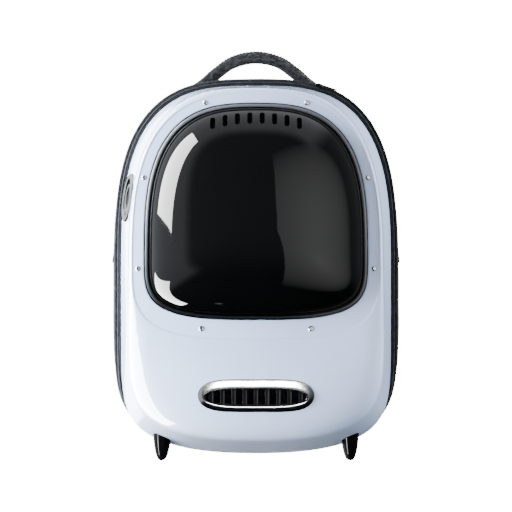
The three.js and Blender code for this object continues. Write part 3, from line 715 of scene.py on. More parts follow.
def shell_rows(angles=ANGLES):
    """The shell's outer skin from the rim to the window's edge."""
    rows = []
    for turn in np.radians((0, 30, 60)):
        lip = grown(RIM, -LIP_RADIUS * (1 - math.sin(turn)))
        rows.append(ring(lip, -LIP_RADIUS * (1 - math.cos(turn)), angles))
    rows += [wall_ring(share, angles) for share in np.linspace(0.02, 0.97, 18)]
    rows += [shoulder_ring(t * t, angles) for t in np.linspace(0.03, 1, 44)]
    rows = np.array(rows)
    calm = np.zeros(len(rows))
    calm[12:34] = np.sin(np.linspace(0, math.pi, 22)) ** 0.5
    for _ in range(30):
        middle = (rows[:-2] + 2 * rows[1:-1] + rows[2:]) / 4
        rows[1:-1] += (middle - rows[1:-1]) * calm[1:-1, None, None]
    rows = list(rows)
    shares = (0.02, 0.04, 0.06, 0.08, 0.1, 0.12, 0.2, 0.35, 0.5, 0.65, 0.78)
    rows += [frame_ring(share, angles) for share in shares]
    edge = reach(WINDOW, angles)
    for turn in np.radians((0, 15, 30, 45, 60, 75, 90)):
        sunk = FRAME_SUNK + LIP_RADIUS * (1 - math.cos(turn))
        rows.append(ray_points(
            edge + LIP_RADIUS * (1 - math.sin(turn)), angles,
            lambda x, z, sunk=sunk: face_depth(x, z) + sunk))
    return rows


def skin_normal(ring_at, share, angle, axis):
    """A point on a skin and the normal there, the way that is negative along an axis."""
    step = 0.01
    angles = np.array([angle - step, angle, angle + step])
    across = ring_at(share, angles)
    along = ring_at(share + step, angles)[1] - ring_at(share - step, angles)[1]
    normal = np.cross(across[2] - across[0], along)
    normal /= np.linalg.norm(normal)
    return across[1], normal if normal[axis] < 0 else -normal


def vent_angle():
    angles = np.linspace(math.pi / 2, math.pi, 400)
    heights = ring(RIM, 0, angles)[:, 2]
    return float(np.interp(-VENT_HEIGHT, -heights, angles))


VENT_POINT, VENT_AXIS = skin_normal(wall_ring, 0.5, vent_angle(), 0)


def vent_piece(name, profile):
    rings = lathe(profile, 96)
    axes = frame_from(VENT_AXIS)
    return new_object(name, *skin([placed(r, VENT_POINT, *axes) for r in rings]))


def front_shell():
    rows = shell_rows()
    inner = offset(rows[4:-7:6], -SHELL_WALL)
    back = ring(WINDOW, lambda x, z: face_depth(x, z) + FRAME_SUNK + SHELL_WALL)
    start = ring(grown(RIM, -SHELL_WALL), 0.0)
    shell = new_object("shell_skin", *skin([*rows, back, *inner[::-1], start], wrap=True))
    cut(shell, prism(oval(*GRILLE, GRILLE_HEIGHT, grow=2 * CLEARANCE), -140, -80))
    combine(shell, vent_piece("cutter", [(VENT_INNER, -15), (VENT_INNER, 15)]))
    shell.visible_glossy = False
    return finish(shell, SHELL, "shell_gloss", "front_shell")


# Bubble

def flange_front(x, z):
    return face_depth(x, z) + FRAME_SUNK + SHELL_WALL + 2 * CLEARANCE


def dome_ring(share):
    base = reach(grown(WINDOW, -TRIM_GAP - TRIM_WIDTH - CLEARANCE), ANGLES)
    rise = (1 - (1 - share) ** 2.8) ** (1 / 1.7)
    return ray_points(base * (1 - share), ANGLES, lambda x, z: blend(
        flange_front(x, z), face_depth(x, z) - BUBBLE_HEIGHT, rise))


def bubble():
    rows = [ring(grown(WINDOW, BUBBLE_FLANGE), flange_front)]
    rows += [dome_ring(t ** 2.2) for t in np.linspace(0, 0.995, 60)]
    inner = offset(rows, -BUBBLE_WALL)[::4]
    dome = new_object("bubble_dome", *skin([*rows[::-1], *inner]))
    slots = []
    for x in spread(SLOTS, SLOT_PITCH):
        z = WINDOW.top - SLOT_DROP - x ** 2 / (2 * SLOT_ARC)
        loop = [(x + dx, 0, z + dz) for dx, dz in stadium(SLOT_WIDTH, SLOT_HEIGHT)]
        slots.append(prism(loop, -200, 0))
    cut(dome, *slots)
    return finish(dome, SMOKE, "smoked_clear", "bubble_window")


def window_trim():
    rows = []
    for t in (0, 0.06, 0.16, 0.3, 0.45, 0.6, 0.75, 0.88, 0.96, 1):
        drop = 1.9 * abs(2 * t - 1) ** 3.5
        shape = grown(WINDOW, -TRIM_GAP - TRIM_WIDTH * t)
        rows.append(ring(shape, lambda x, z, drop=drop: face_depth(x, z) - 0.6 + drop))
    for t in (1, 0):
        shape = grown(WINDOW, -TRIM_GAP - TRIM_WIDTH * t)
        rows.append(ring(shape, lambda x, z: flange_front(x, z) - CLEARANCE))
    trim = new_object("trim_ring", *skin(rows, wrap=True))
    return finish(trim, TRIM, "trim_grey", "window_trim")


# Screws, grille and vent

# Radius and height round a screw's axis, and the screws' directions from the hub
SCREW = [(1.25, -2.2), (1.25, 0.2), (2.8, 0.25), (2.86, 0.5), (2.72, 0.85), (2.4, 1.3), (1.95, 1.65),
         (1.45, 1.85), (1.0, 1.93), (0.86, 1.88), (0.8, 0.95), (0.1, 0.9)]
SCREW_ANGLES = [66.5, 113.5, 20.5, 159.5, -22.7, 202.7, -63.5, 243.5]


def screws():
    """Domed heads, each with a six-cornered hole in its middle."""
    rings = lathe(SCREW, 30)
    rings[-3:, :, ::2] *= np.where(np.arange(30) % 5 == 0, 1.06, 0.94)[None, :, None]
    for k, degrees in enumerate(SCREW_ANGLES):
        point, normal = skin_normal(frame_ring, 0.5, math.radians(degrees), 1)
        rows = [placed(r, point, *frame_from(normal)) for r in rings]
        head = new_object(f"screw_head_{k + 1}", *skin(rows), sharp=50)
        head.visible_glossy = False
        finish(head, CHROME, "bright_chrome", f"screw_{k + 1}")


def grille_bezel():
    outer = oval(*BEZEL, BEZEL_HEIGHT, steps=144)
    inner = oval(*GRILLE, GRILLE_HEIGHT, steps=144)
    profile = spline([(0, -0.3), (0.004, 0.1), (0.05, 0.26), (0.22, 0.52), (0.5, 0.82), (0.76, 0.98),
                      (0.9, 1.0), (0.97, 0.88), (1, 0.6)], 34)
    rows = []
    for across, proud in [*profile, (1, -1.2), (0, -1.2)]:
        points = blend(outer, inner, across)
        points[:, 1] = face_depth(points[:, 0], points[:, 2]) - proud * BEZEL_PROUD
        rows.append(points)
    bezel = new_object("chrome_bezel", *skin(rows, wrap=True), sharp=55)
    bezel.visible_glossy = False
    return finish(bezel, BRUSHED, "bright_chrome", "grille_bezel")


def box_points(width, depth, height, centre):
    x, y, z = width / 2, depth / 2, height / 2
    corners = [(a * x, b * y, c * z) for a in (-1, 1) for b in (-1, 1) for c in (-1, 1)]
    points = [tuple(np.add(corner, centre)) for corner in corners]
    return points, [(0, 1, 3, 2), (4, 6, 7, 5), (0, 4, 5, 1), (2, 3, 7, 6), (0, 2, 6, 4), (1, 5, 7, 3)]


def grille_insert():
    front = float(face_depth(0, BEZEL_HEIGHT)) + GRILLE_SUNK
    rows = []
    for inset, deep in ((-0.3, GRILLE_DEPTH), (-0.3, 0.3), (0, 0), (0.9, 0), (1.5, 0.5), (1.7, GRILLE_DEPTH)):
        points = oval(*GRILLE, GRILLE_HEIGHT, grow=-inset)
        points[:, 1] = front + deep
        rows.append(points)
    insert = new_object("louvre_insert", *skin(rows, wrap=True), sharp=35)
    bars = [box_points(RIB_WIDTH, GRILLE_DEPTH - 2, 1.4 * GRILLE[1], (x, front + 3.6, GRILLE_HEIGHT))
            for x in spread(RIBS, RIB_PITCH)]
    ribs = rounded(new_object("louvre_ribs", *merged(bars)), 1.1, 4)
    keep = oval(*GRILLE, GRILLE_HEIGHT, grow=-1.2)
    combine(ribs, new_object("cutter", *prism(keep, front, front + 20)), "INTERSECT")
    for obj in (insert, ribs):
        finish(obj, BLACK, "black_gloss", "grille_insert")


def side_vent():
    outer, inner = VENT_OUTER, VENT_INNER
    ring_profile = [(inner, -4), (inner, 0.6), (inner + 0.5, 1.7), (inner + 1.6, 2.3), (inner + 3.2, 2.4),
                    (outer - 1.6, 2.0), (outer - 0.5, 1.2), (outer, 0.2), (outer, -2.5)]
    bright = vent_piece("vent_ring", ring_profile)
    finish(bright, CHROME, "bright_chrome", "side_vent_ring")
    radius = inner - CLEARANCE
    plate = vent_piece("vent_plate", [(0.1, -3.6), (radius, -3.6), (radius, -0.9), (radius - 0.4, -0.6),
                                      (11.6, -0.6), (11.2, -0.2), (0.1, -0.2)])
    axes = frame_from(VENT_AXIS)
    louvres = []
    for along in spread(VENT_LOUVRES, LOUVRE_PITCH):
        length = 2 * math.sqrt(10.2 ** 2 - along ** 2)
        loop = [(along + dx, 0, dz) for dx, dz in stadium(2.2, length)]
        points, faces = prism(loop, -6, 4)
        louvres.append((placed(points, VENT_POINT, *axes), faces))
    cut(plate, *louvres)
    finish(plate, BLACK, "black_gloss", "side_vent_disc")
    inner_ring = vent_piece("vent_inner_ring", [(12.0, -0.7), (12.2, 0.5), (12.9, 1.0), (14.8, 1.0),
                                                (15.6, 0.5), (15.8, -0.7)])
    finish(inner_ring, CHROME, "bright_chrome", "side_vent_disc")


# Zip

COIL_OUTLINE = grown(mixed(SEAM_START, BODY_FRONT, COIL_SHARE), COIL_DIAMETER / 2 + 2 * CLEARANCE)
COIL_DEPTH = TAPE_DEPTH * COIL_SHARE
PIPING_OUTLINE = grown(BODY_FRONT, PIPING_DIAMETER / 2 + 5 * CLEARANCE)


def zipper():
    flare = [(mixed(SEAM_START, BODY_FRONT, share), blend(CLEARANCE, TAPE_DEPTH, share))
             for share in np.linspace(0, 1, 6)]
    outer = [ring(shape, depth) for shape, depth in flare]
    inner = [ring(grown(shape, -TAPE_WALL), depth) for shape, depth in flare]
    tape = new_object("zip_tape", *skin([*outer, *inner[::-1]], wrap=True))
    finish(tape, TAPE_CLOTH, "tape_fabric", "zipper_tape")

    fine = even_angles(RIM, TEETH)
    base = ring(COIL_OUTLINE, COIL_DEPTH, fine)
    out = ring(grown(COIL_OUTLINE, 1), COIL_DEPTH, fine) - base
    half = np.array([0, COIL_DIAMETER * 0.48, 0])
    lean = (np.roll(base, -1, axis=0) - base) * 0.32
    teeth = capsules("zip_teeth", base - half - lean, base + half + lean, 0.95, ups=out)
    finish(teeth, BINDING, "binding_fabric", "zipper_coil")
    spine = round_cord("zip_cord", COIL_OUTLINE, COIL_DEPTH, 2.4)
    finish(spine, BINDING, "binding_fabric", "zipper_coil")

    piping_depth = TAPE_DEPTH + CLEARANCE + PIPING_DIAMETER / 2
    piping = round_cord("body_cord", PIPING_OUTLINE, piping_depth, PIPING_DIAMETER)
    finish(piping, BINDING, "binding_fabric", "body_piping")

    tape_line = ring(grown(mixed(SEAM_START, BODY_FRONT, 0.825), -0.15), 8.3, fine)
    stitches("zip_stitches", closed(tape_line), closed(out), 2.4, 0.9, "tape_fabric", 0.35, 1.0)


def round_cord(name, shape, depth, diameter, sides=14):
    radius = diameter / 2
    rows = [ring(grown(shape, radius * math.cos(t)), depth + radius * math.sin(t)) for t in turns(sides)]
    return new_object(name, *skin(rows, wrap=True))


def zipper_slider():
    angle = math.radians(64.5)
    pair = np.array([angle, angle - 0.05])
    points = ray_points(reach(COIL_OUTLINE, pair), pair, COIL_DEPTH)
    tangent = (points[1] - points[0]) / np.linalg.norm(points[1] - points[0])
    up = np.array([-tangent[2], 0, tangent[0]])
    up = up if up[2] > 0 else -up
    across = np.cross(up, tangent)
    lift = COIL_DIAMETER / 2 + CLEARANCE
    body = box_points(10, 7, 2.6, (0, 0, lift + 1.3))
    bridge = box_points(6, 2.4, 1.8, (0, 0, lift + 2.9))
    slider = new_object("slider_body", *merged([
        (placed(p, points[0], tangent, across, up), f) for p, f in (body, bridge)]))
    finish(rounded(slider, 0.6), BLACK, "black_gloss", "zipper_slider")
    loop = [(2, -2.4, 0), (18, -2.0, 0), (20, -1.2, 0), (20, 1.2, 0), (18, 2.0, 0), (2, 2.4, 0)]
    tab_points, tab_faces = prism(loop, lift + 2.1, lift + 3.5, axis=2)
    tab = new_object("slider_tab", placed(tab_points, points[0], tangent, across, up), tab_faces)
    finish(rounded(tab, 0.5), BLACK, "black_gloss", "zipper_slider")


# Fabric body

# Sections from the zip to the back: depth, share of the belly's swell, share of the back's rounding
BODY = spline([(0, 0, 0), (0.1, 0.55, 0), (0.32, 1, 0), (0.62, 1, 0.06), (0.84, 1, 0.3), (0.95, 1, 0.62),
               (1, 1, 1)], 200)
BODY_BACK = BODY_START + BODY_DEPTH


def body_rows(count=46):
    rows = []
    for depth, swell, inset in BODY[np.linspace(0, len(BODY) - 1, count).astype(int)]:
        shape = grown(mixed(BODY_FRONT, BELLY, swell), -inset * BACK_ROUND)
        rows.append(ring(shape, BODY_START + depth * BODY_DEPTH))
    return rows


def body_x(y, z):
    """Half width of the body's skin at a depth and a height."""
    share = (np.asarray(y, float) - BODY_START) / BODY_DEPTH
    z = np.asarray(z, float)
    swell = np.interp(share, BODY[:, 0], BODY[:, 1])
    inset = np.interp(share, BODY[:, 0], BODY[:, 2]) * BACK_ROUND
    shape = grown(mixed(BODY_FRONT, BELLY, swell), -inset)
    height, p, q = section(shape, z)
    return shape.half * np.maximum(0, 1 - (np.abs(z - shape.middle) / height) ** q) ** (1 / p)


def body_block():
    """The fabric body's solid with its clearance, to cut other pieces with."""
    return new_object("cutter", *skin(offset(body_rows(24), CLEARANCE)))


def net_loop(grow, steps=10):
    """The net window's rounded outline as depth, height pairs."""
    centre = (BODY_START + NET_FRONT + NET_DEPTH / 2, NET_BOTTOM + NET_HEIGHT / 2)
    return centre + rounded_loop(
        NET_DEPTH / 2 + grow, NET_HEIGHT / 2 + grow, NET_CORNER + grow, steps)


def fabric_body():
    rows = body_rows()
    outer = np.array(rows)
    soft = np.array([[0.7 * noise.noise(Vector(p) / 34) for p in row] for row in outer])
    fade = np.sin(np.clip(np.linspace(0, 1, len(rows)), 0, 1) * math.pi)
    directions = offset(rows, 1.0) - outer
    outer = outer + directions * (soft * fade[:, None])[..., None]
    inner = offset(rows, -BODY_WALL)[::5]
    flat = [ring(grown(BELLY, -BACK_ROUND - inset), BODY_BACK) for inset in (6, 20, 45, 80)]
    body = new_object("cloth_body", *skin([*inner[::-1], *outer, *flat]))
    loop = [(0, y, z) for y, z in net_loop(0)]
    cut(body, prism(loop, -200, -110, axis=0), prism(loop, 110, 200, axis=0))
    return finish(body, BODY_CLOTH, "body_fabric", "fabric_body")


def net_panel(name, side):
    columns = round((NET_DEPTH + 4) / NET_PITCH)
    rows = round((NET_HEIGHT + 4) / NET_PITCH)
    y0 = BODY_START + NET_FRONT - 2
    z0 = NET_BOTTOM - 2
    step_y = (NET_DEPTH + 4) / columns
    step_z = (NET_HEIGHT + 4) / rows
    around = [(-1, -1), (0, -1), (1, -1), (1, 0), (1, 1), (0, 1), (-1, 1), (-1, 0)]
    points, faces, index = [], [], {}

    def at(y, z):
        key = (round(y, 3), round(z, 3))
        if key not in index:
            index[key] = len(points)
            points.append((side * (float(body_x(y, z)) - 1.0), y, z))
        return index[key]

    for i in range(columns):
        for j in range(rows):
            y, z = y0 + (i + 0.5) * step_y, z0 + (j + 0.5) * step_z
            outer = [at(y + a * step_y / 2, z + b * step_z / 2) for a, b in around]
            hole = [at(y + a * step_y * (0.13 if b else 0.15), z + b * step_z * (0.14 if a else 0.17))
                    for a, b in around]
            for k in range(8):
                n = (k + 1) % 8
                faces.append((outer[k], outer[n], hole[n], hole[k]))
    net = new_object(name, points, faces, flat_uvs(points, faces, 1, 2))
    thick = net.modifiers.new("thick", "SOLIDIFY")
    thick.thickness = 1.1 * MILLIMETRE
    thick.offset = 0
    settle(net)
    return finish(net, NET_CLOTH, "side_mesh_fabric", f"mesh_panel_{name.split('_')[-1]}")


def net_line(side, grow, lift, steps=10):
    """The net window's outline on the body's skin, or lifted off it."""
    loop = net_loop(grow, steps)
    x = side * (body_x(loop[:, 0], loop[:, 1]) + lift)
    return np.stack([x, loop[:, 0], loop[:, 1]], axis=-1)


def net_binding(name, side):
    """Sewn tape round the net window, with a line of stitches on it."""
    profile = [(-2.6, -0.4), (-2.6, 0.5), (-1.8, 0.9), (1.6, 1.0), (2.6, 0.7), (3.0, 0.1), (3.0, -0.4)]
    rows = [net_line(side, grow, lift) for grow, lift in profile]
    band = new_object(name, *skin(rows, wrap=True))
    finish(band, BINDING, "body_fabric")
    line = closed(net_line(side, 1.2, 1.15, 14))
    stitches(name + "_stitches", line, np.tile((side, 0, 0), (len(line), 1)), 2.6, 1.0, "body_fabric")


# Handle, panel and straps

def strip_frames(path, width_axis):
    """Directions across a strip and through it, at each point of its path."""
    tangents = np.gradient(path, axis=0)
    tangents /= np.linalg.norm(tangents, axis=1, keepdims=True)
    width_axis = np.asarray(width_axis, float)
    across = width_axis - tangents * (tangents @ width_axis)[:, None]
    across /= np.linalg.norm(across, axis=1, keepdims=True)
    return across, np.cross(tangents, across)


def strip(path, width_axis, width, thickness, sides=28, power=0.6, swell=None):
    """Rings of a flat rounded strip along a path."""
    across, through = strip_frames(path, width_axis)
    rings = []
    a, b = squarish(turns(sides) + math.pi / sides, power, width, thickness)
    for k, centre in enumerate(path):
        fat = swell[k] if swell is not None else 1.0
        rings.append(centre + a[:, None] * across[k] + fat * b[:, None] * through[k])
    return rings


def carry_handle():
    arch = [(1.22, -0.72), (0.94, -0.24), (0.7, 0.27), (0.4, 0.79), (0, 1)]
    depth = BODY_START + HANDLE_BACK
    left = [(-out * HANDLE_HALF_SPAN, depth, BELLY.top + rise * HANDLE_RISE) for out, rise in arch]
    right = [(-x, y, z) for x, y, z in left[-2::-1]]
    path = spline(left + right, 110)
    swell = 1 + 0.03 * np.array([noise.noise(Vector(p) / 14) for p in path])
    rings = strip(path, (0, 1, 0), HANDLE_WIDTH - 1.2, HANDLE_THICKNESS - 0.4, 32, 0.7, swell)
    handle = new_object("handle_pad", *skin(rings))
    combine(handle, body_block())
    finish(handle, PADDING, "padded_fabric", "carry_handle")
    across, through = strip_frames(path, (0, 1, 0))
    outward = np.where(through[:, 2:] > 0, through, -through)
    for k, side in enumerate((-1, 1)):
        line = path + across * side * (HANDLE_WIDTH * 0.36) + outward * (HANDLE_THICKNESS * 0.455)
        stitches(f"handle_stitches_{k + 1}", line[22:88], np.tile((0, 0, 1), (66, 1)), 2.8, 1.1,
                 "padded_fabric")


def back_panel():
    width, height, powers = PANEL
    centre = PANEL_LIFT + height / 2
    insets = np.concatenate([np.linspace(0, 12, 12), np.linspace(14, width / 2 - 1, 44)])
    steps = 200
    edge = oval(width, height, powers, centre, steps=steps)
    middle = np.array([0, 0, centre])
    rows = []
    base = BODY_BACK + CLEARANCE
    first = edge.copy()
    first[:, 1] = base
    rows.append(blend(first, middle + (0, base, 0), 0.02))
    for inset in insets:
        share = inset / (width / 2)
        points = blend(edge, middle, share)
        crown = 1 - (1 - min(1, inset / 10)) ** 2.4
        x, z = points[:, 0], points[:, 2] - centre
        groove_x = np.exp(-((np.abs(x) - 15) / 3.2) ** 2) + np.exp(-(np.abs(x) / 11) ** 4) * 0.7
        groove_z = np.exp(-((np.mod(z + 28, 56) - 28) / 3.0) ** 2) * (np.abs(x) > 15)
        quilt = 1 - 0.55 * np.clip(groove_x + groove_z, 0, 1)
        points[:, 1] = base + 0.4 + (PANEL_THICKNESS - 0.6) * (0.3 + 0.7 * quilt) * crown
        rows.append(points)
    points, faces, _ = skin(rows)
    panel = new_object("back_pad", points, faces, flat_uvs(points, faces, 0, 2))
    finish(panel, SPACER, "back_mesh_fabric", "back_panel")
    rim = oval(width, height, powers, centre, grow=-1.6, steps=160)
    rim[:, 1] = base + 3.4
    inward = middle - rim
    inward /= np.linalg.norm(inward, axis=1, keepdims=True)
    cord = [rim - inward * EDGING_RADIUS * math.cos(t) + (0, EDGING_RADIUS * math.sin(t), 0)
            for t in turns(10)]
    edging = new_object("panel_edging", *skin(cord, wrap=True))
    finish(edging, BINDING, "back_mesh_fabric", "back_panel")


STRAP_ROUTE = [(0.24, -0.25, 0.915), (0.26, 0.4, 0.905), (0.3, 0.84, 0.835), (0.345, 1, 0.725),
               (0.41, 1, 0.595), (0.46, 0.86, 0.475), (0.49, 0.66, 0.385)]
WEB_ROUTE = [(0.49, 0.66, 0.385), (0.505, 0.52, 0.32), (0.54, 0.3, 0.225), (0.58, 0.05, 0.15),
             (0.61, -0.5, 0.11)]
PANEL_WIDTH = 0.63 * 2 * RIM.half


def route(rows, side, count):
    return spline([(side * out * PANEL_WIDTH, BODY_BACK + back * STRAP_BOW, high * BELLY.top)
                   for out, back, high in rows], count)


def shoulder_strap(name, side):
    path = route(STRAP_ROUTE, side, 90)
    at = np.linspace(0, 1, 90)
    quilt = 1 - 0.16 * np.exp(-((np.mod(at * 7, 1) - 0.5) / 0.09) ** 2)
    rings = strip(path, (1, 0, 0), STRAP_WIDTH - 3, STRAP_THICKNESS, 36, 0.62, quilt)
    pad = new_object(f"strap_pad_{name}", *skin(rings))
    combine(pad, body_block())
    finish(pad, PADDING, "padded_fabric", f"shoulder_strap_{name}")
    across, through = strip_frames(path, (1, 0, 0))
    for k, edge in enumerate((-1, 1)):
        line = path + across * edge * (STRAP_WIDTH / 2 - 2.2)
        rows = strip(line, (1, 0, 0), 4.4, 4.4, 10, 1.0)
        cord = new_object(f"strap_edging_{name}_{k + 1}", *skin(rows))
        combine(cord, body_block())
        finish(cord, BINDING, "padded_fabric", f"shoulder_strap_{name}")
        away = through * np.sign(through[45][1])
        sewn = path + across * edge * (STRAP_WIDTH / 2 - 7.5) + away * (STRAP_THICKNESS * 0.43)
        stitches(f"strap_stitches_{name}_{k + 1}", sewn[16:86], away[16:86], 2.8, 1.1, "padded_fabric")


def lower_webbing(name, side):
    path = route(WEB_ROUTE, side, 60)[4:]
    rings = strip(path, (1, 0, 0), WEBBING_WIDTH, WEBBING_THICKNESS, 24, 0.45)
    web = new_object(f"web_{name}", *skin(rings))
    combine(web, body_block())
    finish(web, WEBBING, "webbing_fabric", f"lower_webbing_{name}")


def strap_adjuster(name, side):
    path = route(WEB_ROUTE, side, 60)
    along = path[5] - path[3]
    along /= np.linalg.norm(along)
    across = np.array([1.0, 0, 0]) - along * along[0]
    across /= np.linalg.norm(across)
    through = np.cross(across, along)
    centre = path[0] + along * (ADJUSTER_LENGTH / 2 + 4 * CLEARANCE)
    half = ADJUSTER_THICKNESS / 2
    loop = rounded_loop(WEBBING_WIDTH / 2 + 5, ADJUSTER_LENGTH / 2, 5, 6)
    plate = new_object("adjuster_" + name, *prism([(x, y, 0) for x, y in loop], -half, half, axis=2))
    cut(plate, *[box_points(WEBBING_WIDTH + 1.6, 5.6, 20, (0, shift, 0)) for shift in (-6.2, 6.2)])
    rounded(plate, 0.9)
    mesh = plate.data
    points = np.array([v.co[:] for v in mesh.vertices]) / MILLIMETRE - (0, RIM_PLANE / MILLIMETRE, 0)
    moved = to_metres(placed(points, centre, across, along, through))
    mesh.vertices.foreach_set("co", moved.ravel())
    mesh.update()
    finish(plate, MATTE, "black_matte", f"strap_adjuster_{name}")


# Feet

# Share of the height, width and length, from the tip up
FOOT = spline([(0, 0.2, 0.8), (0.012, 0.33, 0.85), (0.05, 0.47, 0.9), (0.17, 0.63, 0.94), (0.39, 0.8, 0.98),
               (0.68, 0.93, 1), (1, 1, 1), (1.9, 1.02, 1)], 48)


def foot(name, side, place, rake, block):
    x, depth = place
    rows = []
    across, along = squarish(turns(40), 0.75, FOOT_WIDTH, FOOT_LENGTH)
    for high, wide, long in FOOT:
        lean = depth + rake * (1 - min(1, high))
        height = np.full(40, high * FOOT_HEIGHT)
        rows.append(np.stack([side * x + across * wide, lean + along * long, height], axis=-1))
    leg = new_object(name, *skin(rows))
    combine(leg, block)
    node = name.replace("leg", "foot")
    finish(leg, FOOT_GLOSS, "black_gloss", node)


def shell_block():
    rows = [ring(grown(RIM, CLEARANCE), 1.0)]
    rows += [wall_ring(share) for share in np.linspace(0, 0.97, 10)]
    rows += [shoulder_ring(t * t) for t in np.linspace(0.03, 1, 12)]
    rows = [rows[0], *offset(rows[1:], CLEARANCE)]
    return new_object("cutter", *skin(rows))


# Stage, light and camera

def softbox(name, centre, facing, width, height, radiance, seen="both", colour=(1, 1, 1), spread=180,
            only=(), skip=()):
    """An area light of a given radiance, that shows as a lit shape, as light on surfaces or as both."""
    light = bpy.data.lights.new(name, "AREA")
    light.shape = "RECTANGLE"
    light.size = width
    light.size_y = height
    light.energy = math.pi * width * height * radiance
    light.color = colour
    if spread < 180:
        light.spread = math.radians(spread)
        edge = math.radians(90 - spread / 2)
        light.energy *= (2 + (2 * edge - math.pi) * math.tan(edge)) / 2
    obj = bpy.data.objects.new(name, light)
    obj.location = centre
    obj.rotation_euler = Vector(facing).to_track_quat("-Z", "Y").to_euler()
    obj.visible_camera = False
    obj.visible_glossy = seen != "light"
    obj.visible_diffuse = seen != "shape"
    bpy.context.scene.collection.objects.link(obj)
    if only or skip:
        lit = bpy.data.collections.new(name + "_lit")
        for piece in only or skip:
            lit.objects.link(piece)
        obj.light_linking.receiver_collection = lit
        if skip:
            for member in lit.collection_objects:
                member.light_linking.link_state = "EXCLUDE"
    return obj


COOL = (0.82, 0.89, 1.0)


def lights():
    """Strong light from the left, which fades to the right, and weak light from the right and above."""
    def named(*starts):
        return [obj for obj in bpy.data.objects if obj.name.startswith(starts)]

    feet = named("front_leg", "rear_leg")
    bezel = named("chrome_bezel")
    vent = named("vent_")
    # Cards that show in the glossy pieces
    softbox("left_high", (-1.5, 0.03, 1.42), (1, 0, 0), 0.9, 1.86, 52, "shape", skip=bezel + feet + vent)
    low = softbox("left_low", (-1.5, 0.95, -1.89), (1, 0, 0), 1.2, 4.0, 52, "shape",
                  skip=bezel + feet + vent + named("shell_skin", "trim_ring"))
    low.rotation_euler.rotate_axis("Z", math.radians(-26))
    softbox("shell_card", (-1.5, -0.15, -0.95), (1, 0, 0), 2.1, 2.9, 75, "shape", only=named("shell_skin"))
    softbox("rear_card", (-1.0, 2.6, 0.8), (0.3, -1, 0), 2.2, 3.2, 7, "shape", only=named("shell_skin"))
    softbox("right_card", (1.988, -0.901, 0.27), (-0.669, 0.743, 0), 4.45, 6.2, 2.2, "shape", spread=116,
            skip=bezel + feet)
    softbox("foot_card", (-1.5, -1.2, 0.5), (0.78, 0.62, -0.1), 0.26, 1.4, 110, "shape", only=feet)
    # Fills that light without showing
    softbox("handle_fill", (1.3, -0.5, 0.5), (-1, 0.4, 0), 0.8, 0.8, 45, "light", (1, 0.97, 0.95),
            only=named("handle_"))
    softbox("left_fill", (-1.5, 0.9, 0.35), (0.86, -0.5, -0.05), 1.0, 1.5, 95, "light", COOL)
    softbox("front_fill", (-0.85, -0.5, 0.32), (0.87, 0.44, -0.12), 0.6, 0.9, 33, "light", COOL)
    softbox("bounce", (-0.6, -1.4, -0.8), (0.25, 0.75, 0.6), 1.8, 1.0, 6, "light", COOL)
    softbox("right_fill", (1.6, 0.4, 0.7), (-1, -0.15, -0.2), 1.2, 1.6, 19, "light", (0.9, 0.95, 1))
    softbox("top_fill", (0, 0.1, 2.0), (0, 0, -1), 2.0, 2.0, 3.0, "light", COOL)
    softbox("back_fill", (0.6, 2.6, 1.4), (-0.2, -1, -0.45), 2.4, 2.0, 3, "light", COOL)
    # What the bezel reflects
    softbox("metal_card", (0, -1.5, 1.9), (0, 0.72, -0.7), 1.2, 1.1, 165, only=bezel)
    softbox("bezel_glow", (0, -1.9, -0.75), (0, 0.88, 0.4), 1.6, 0.25, 7, only=bezel)


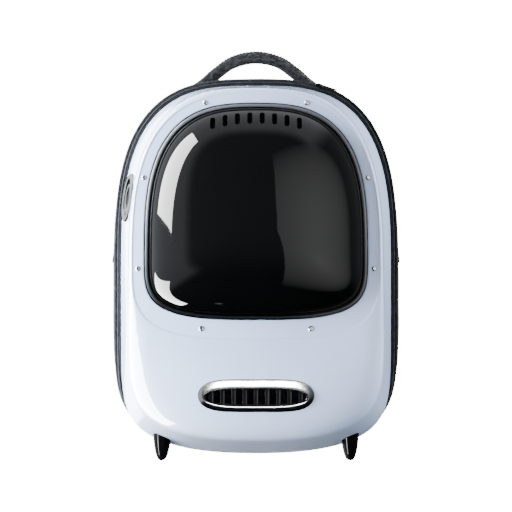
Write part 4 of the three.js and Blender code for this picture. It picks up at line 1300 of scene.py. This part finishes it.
def backdrop():
    """A studio that is dim in front and below, inside a white cyclorama that only the camera sees."""
    world = bpy.data.worlds.new("studio")
    nodes = Nodes(world)
    place = nodes.node("TexCoord", output="Generated")

    def weighed(direction, low, high):
        """How far a direction leans towards another, eased from 0 to 1."""
        lean = nodes.node("VectorMath", {0: place, 1: direction}, "Value", operation="DOT_PRODUCT")
        return nodes.node("MapRange", {0: lean, 1: low, 2: high}, interpolation_type="SMOOTHSTEP")

    dim = nodes.math("MULTIPLY", weighed((0, 0, 1), -0.6, 0.35), 0.2)
    behind = weighed((0, 1, -0.49), -0.8, -0.56)
    upper_left = weighed((-1, 0, 1), -0.05, 0.4)
    total = nodes.math("ADD", nodes.math("MULTIPLY", behind, upper_left), dim)
    nodes.output("World", nodes.node("Background", {0: (0.92, 0.96, 1, 1), 1: total}))
    bpy.context.scene.world = world
    bpy.ops.mesh.primitive_uv_sphere_add(segments=64, ring_count=32, radius=20)
    staged(bpy.context.object, "studio_cyclorama")


def floor():
    bpy.ops.mesh.primitive_circle_add(vertices=96, radius=6, fill_type="NGON", location=(0, 0, -0.0006))
    staged(bpy.context.object, "studio_floor")


def staged(obj, name):
    """A glowing white surface that throws no light on the object."""
    material = bpy.data.materials.new(name + "_white")
    nodes = Nodes(material)
    nodes.output("Material", nodes.node("Emission", {"Color": (1, 1, 1, 1), "Strength": 16.0}))
    obj.name = name
    obj.data.materials.append(material)
    for ray in ("diffuse", "glossy", "transmission", "shadow", "volume_scatter"):
        setattr(obj, "visible_" + ray, False)


def camera():
    data = bpy.data.cameras.new("camera")
    data.sensor_width = 36
    data.lens = 137
    data.clip_end = 60
    obj = bpy.data.objects.new("camera", data)
    obj.location = (0, RIM_PLANE - 2.2, 0.227)
    obj.rotation_euler = (math.pi / 2, 0, 0)
    bpy.context.scene.collection.objects.link(obj)
    bpy.context.scene.camera = obj


camera()
backdrop()
floor()
front_shell()
bubble()
window_trim()
screws()
grille_bezel()
grille_insert()
side_vent()
zipper()
zipper_slider()
fabric_body()
for side_name, sign in (("left", -1), ("right", 1)):
    net_panel("net_" + side_name, sign)
    net_binding("net_binding_" + side_name, sign)
    shoulder_strap(side_name, sign)
    lower_webbing(side_name, sign)
    strap_adjuster(side_name, sign)
    foot("front_leg_" + side_name, sign, FRONT_FOOT, -FOOT_RAKE, shell_block())
    foot("rear_leg_" + side_name, sign, REAR_FOOT, FOOT_RAKE, body_block())
carry_handle()
back_panel()
lights()
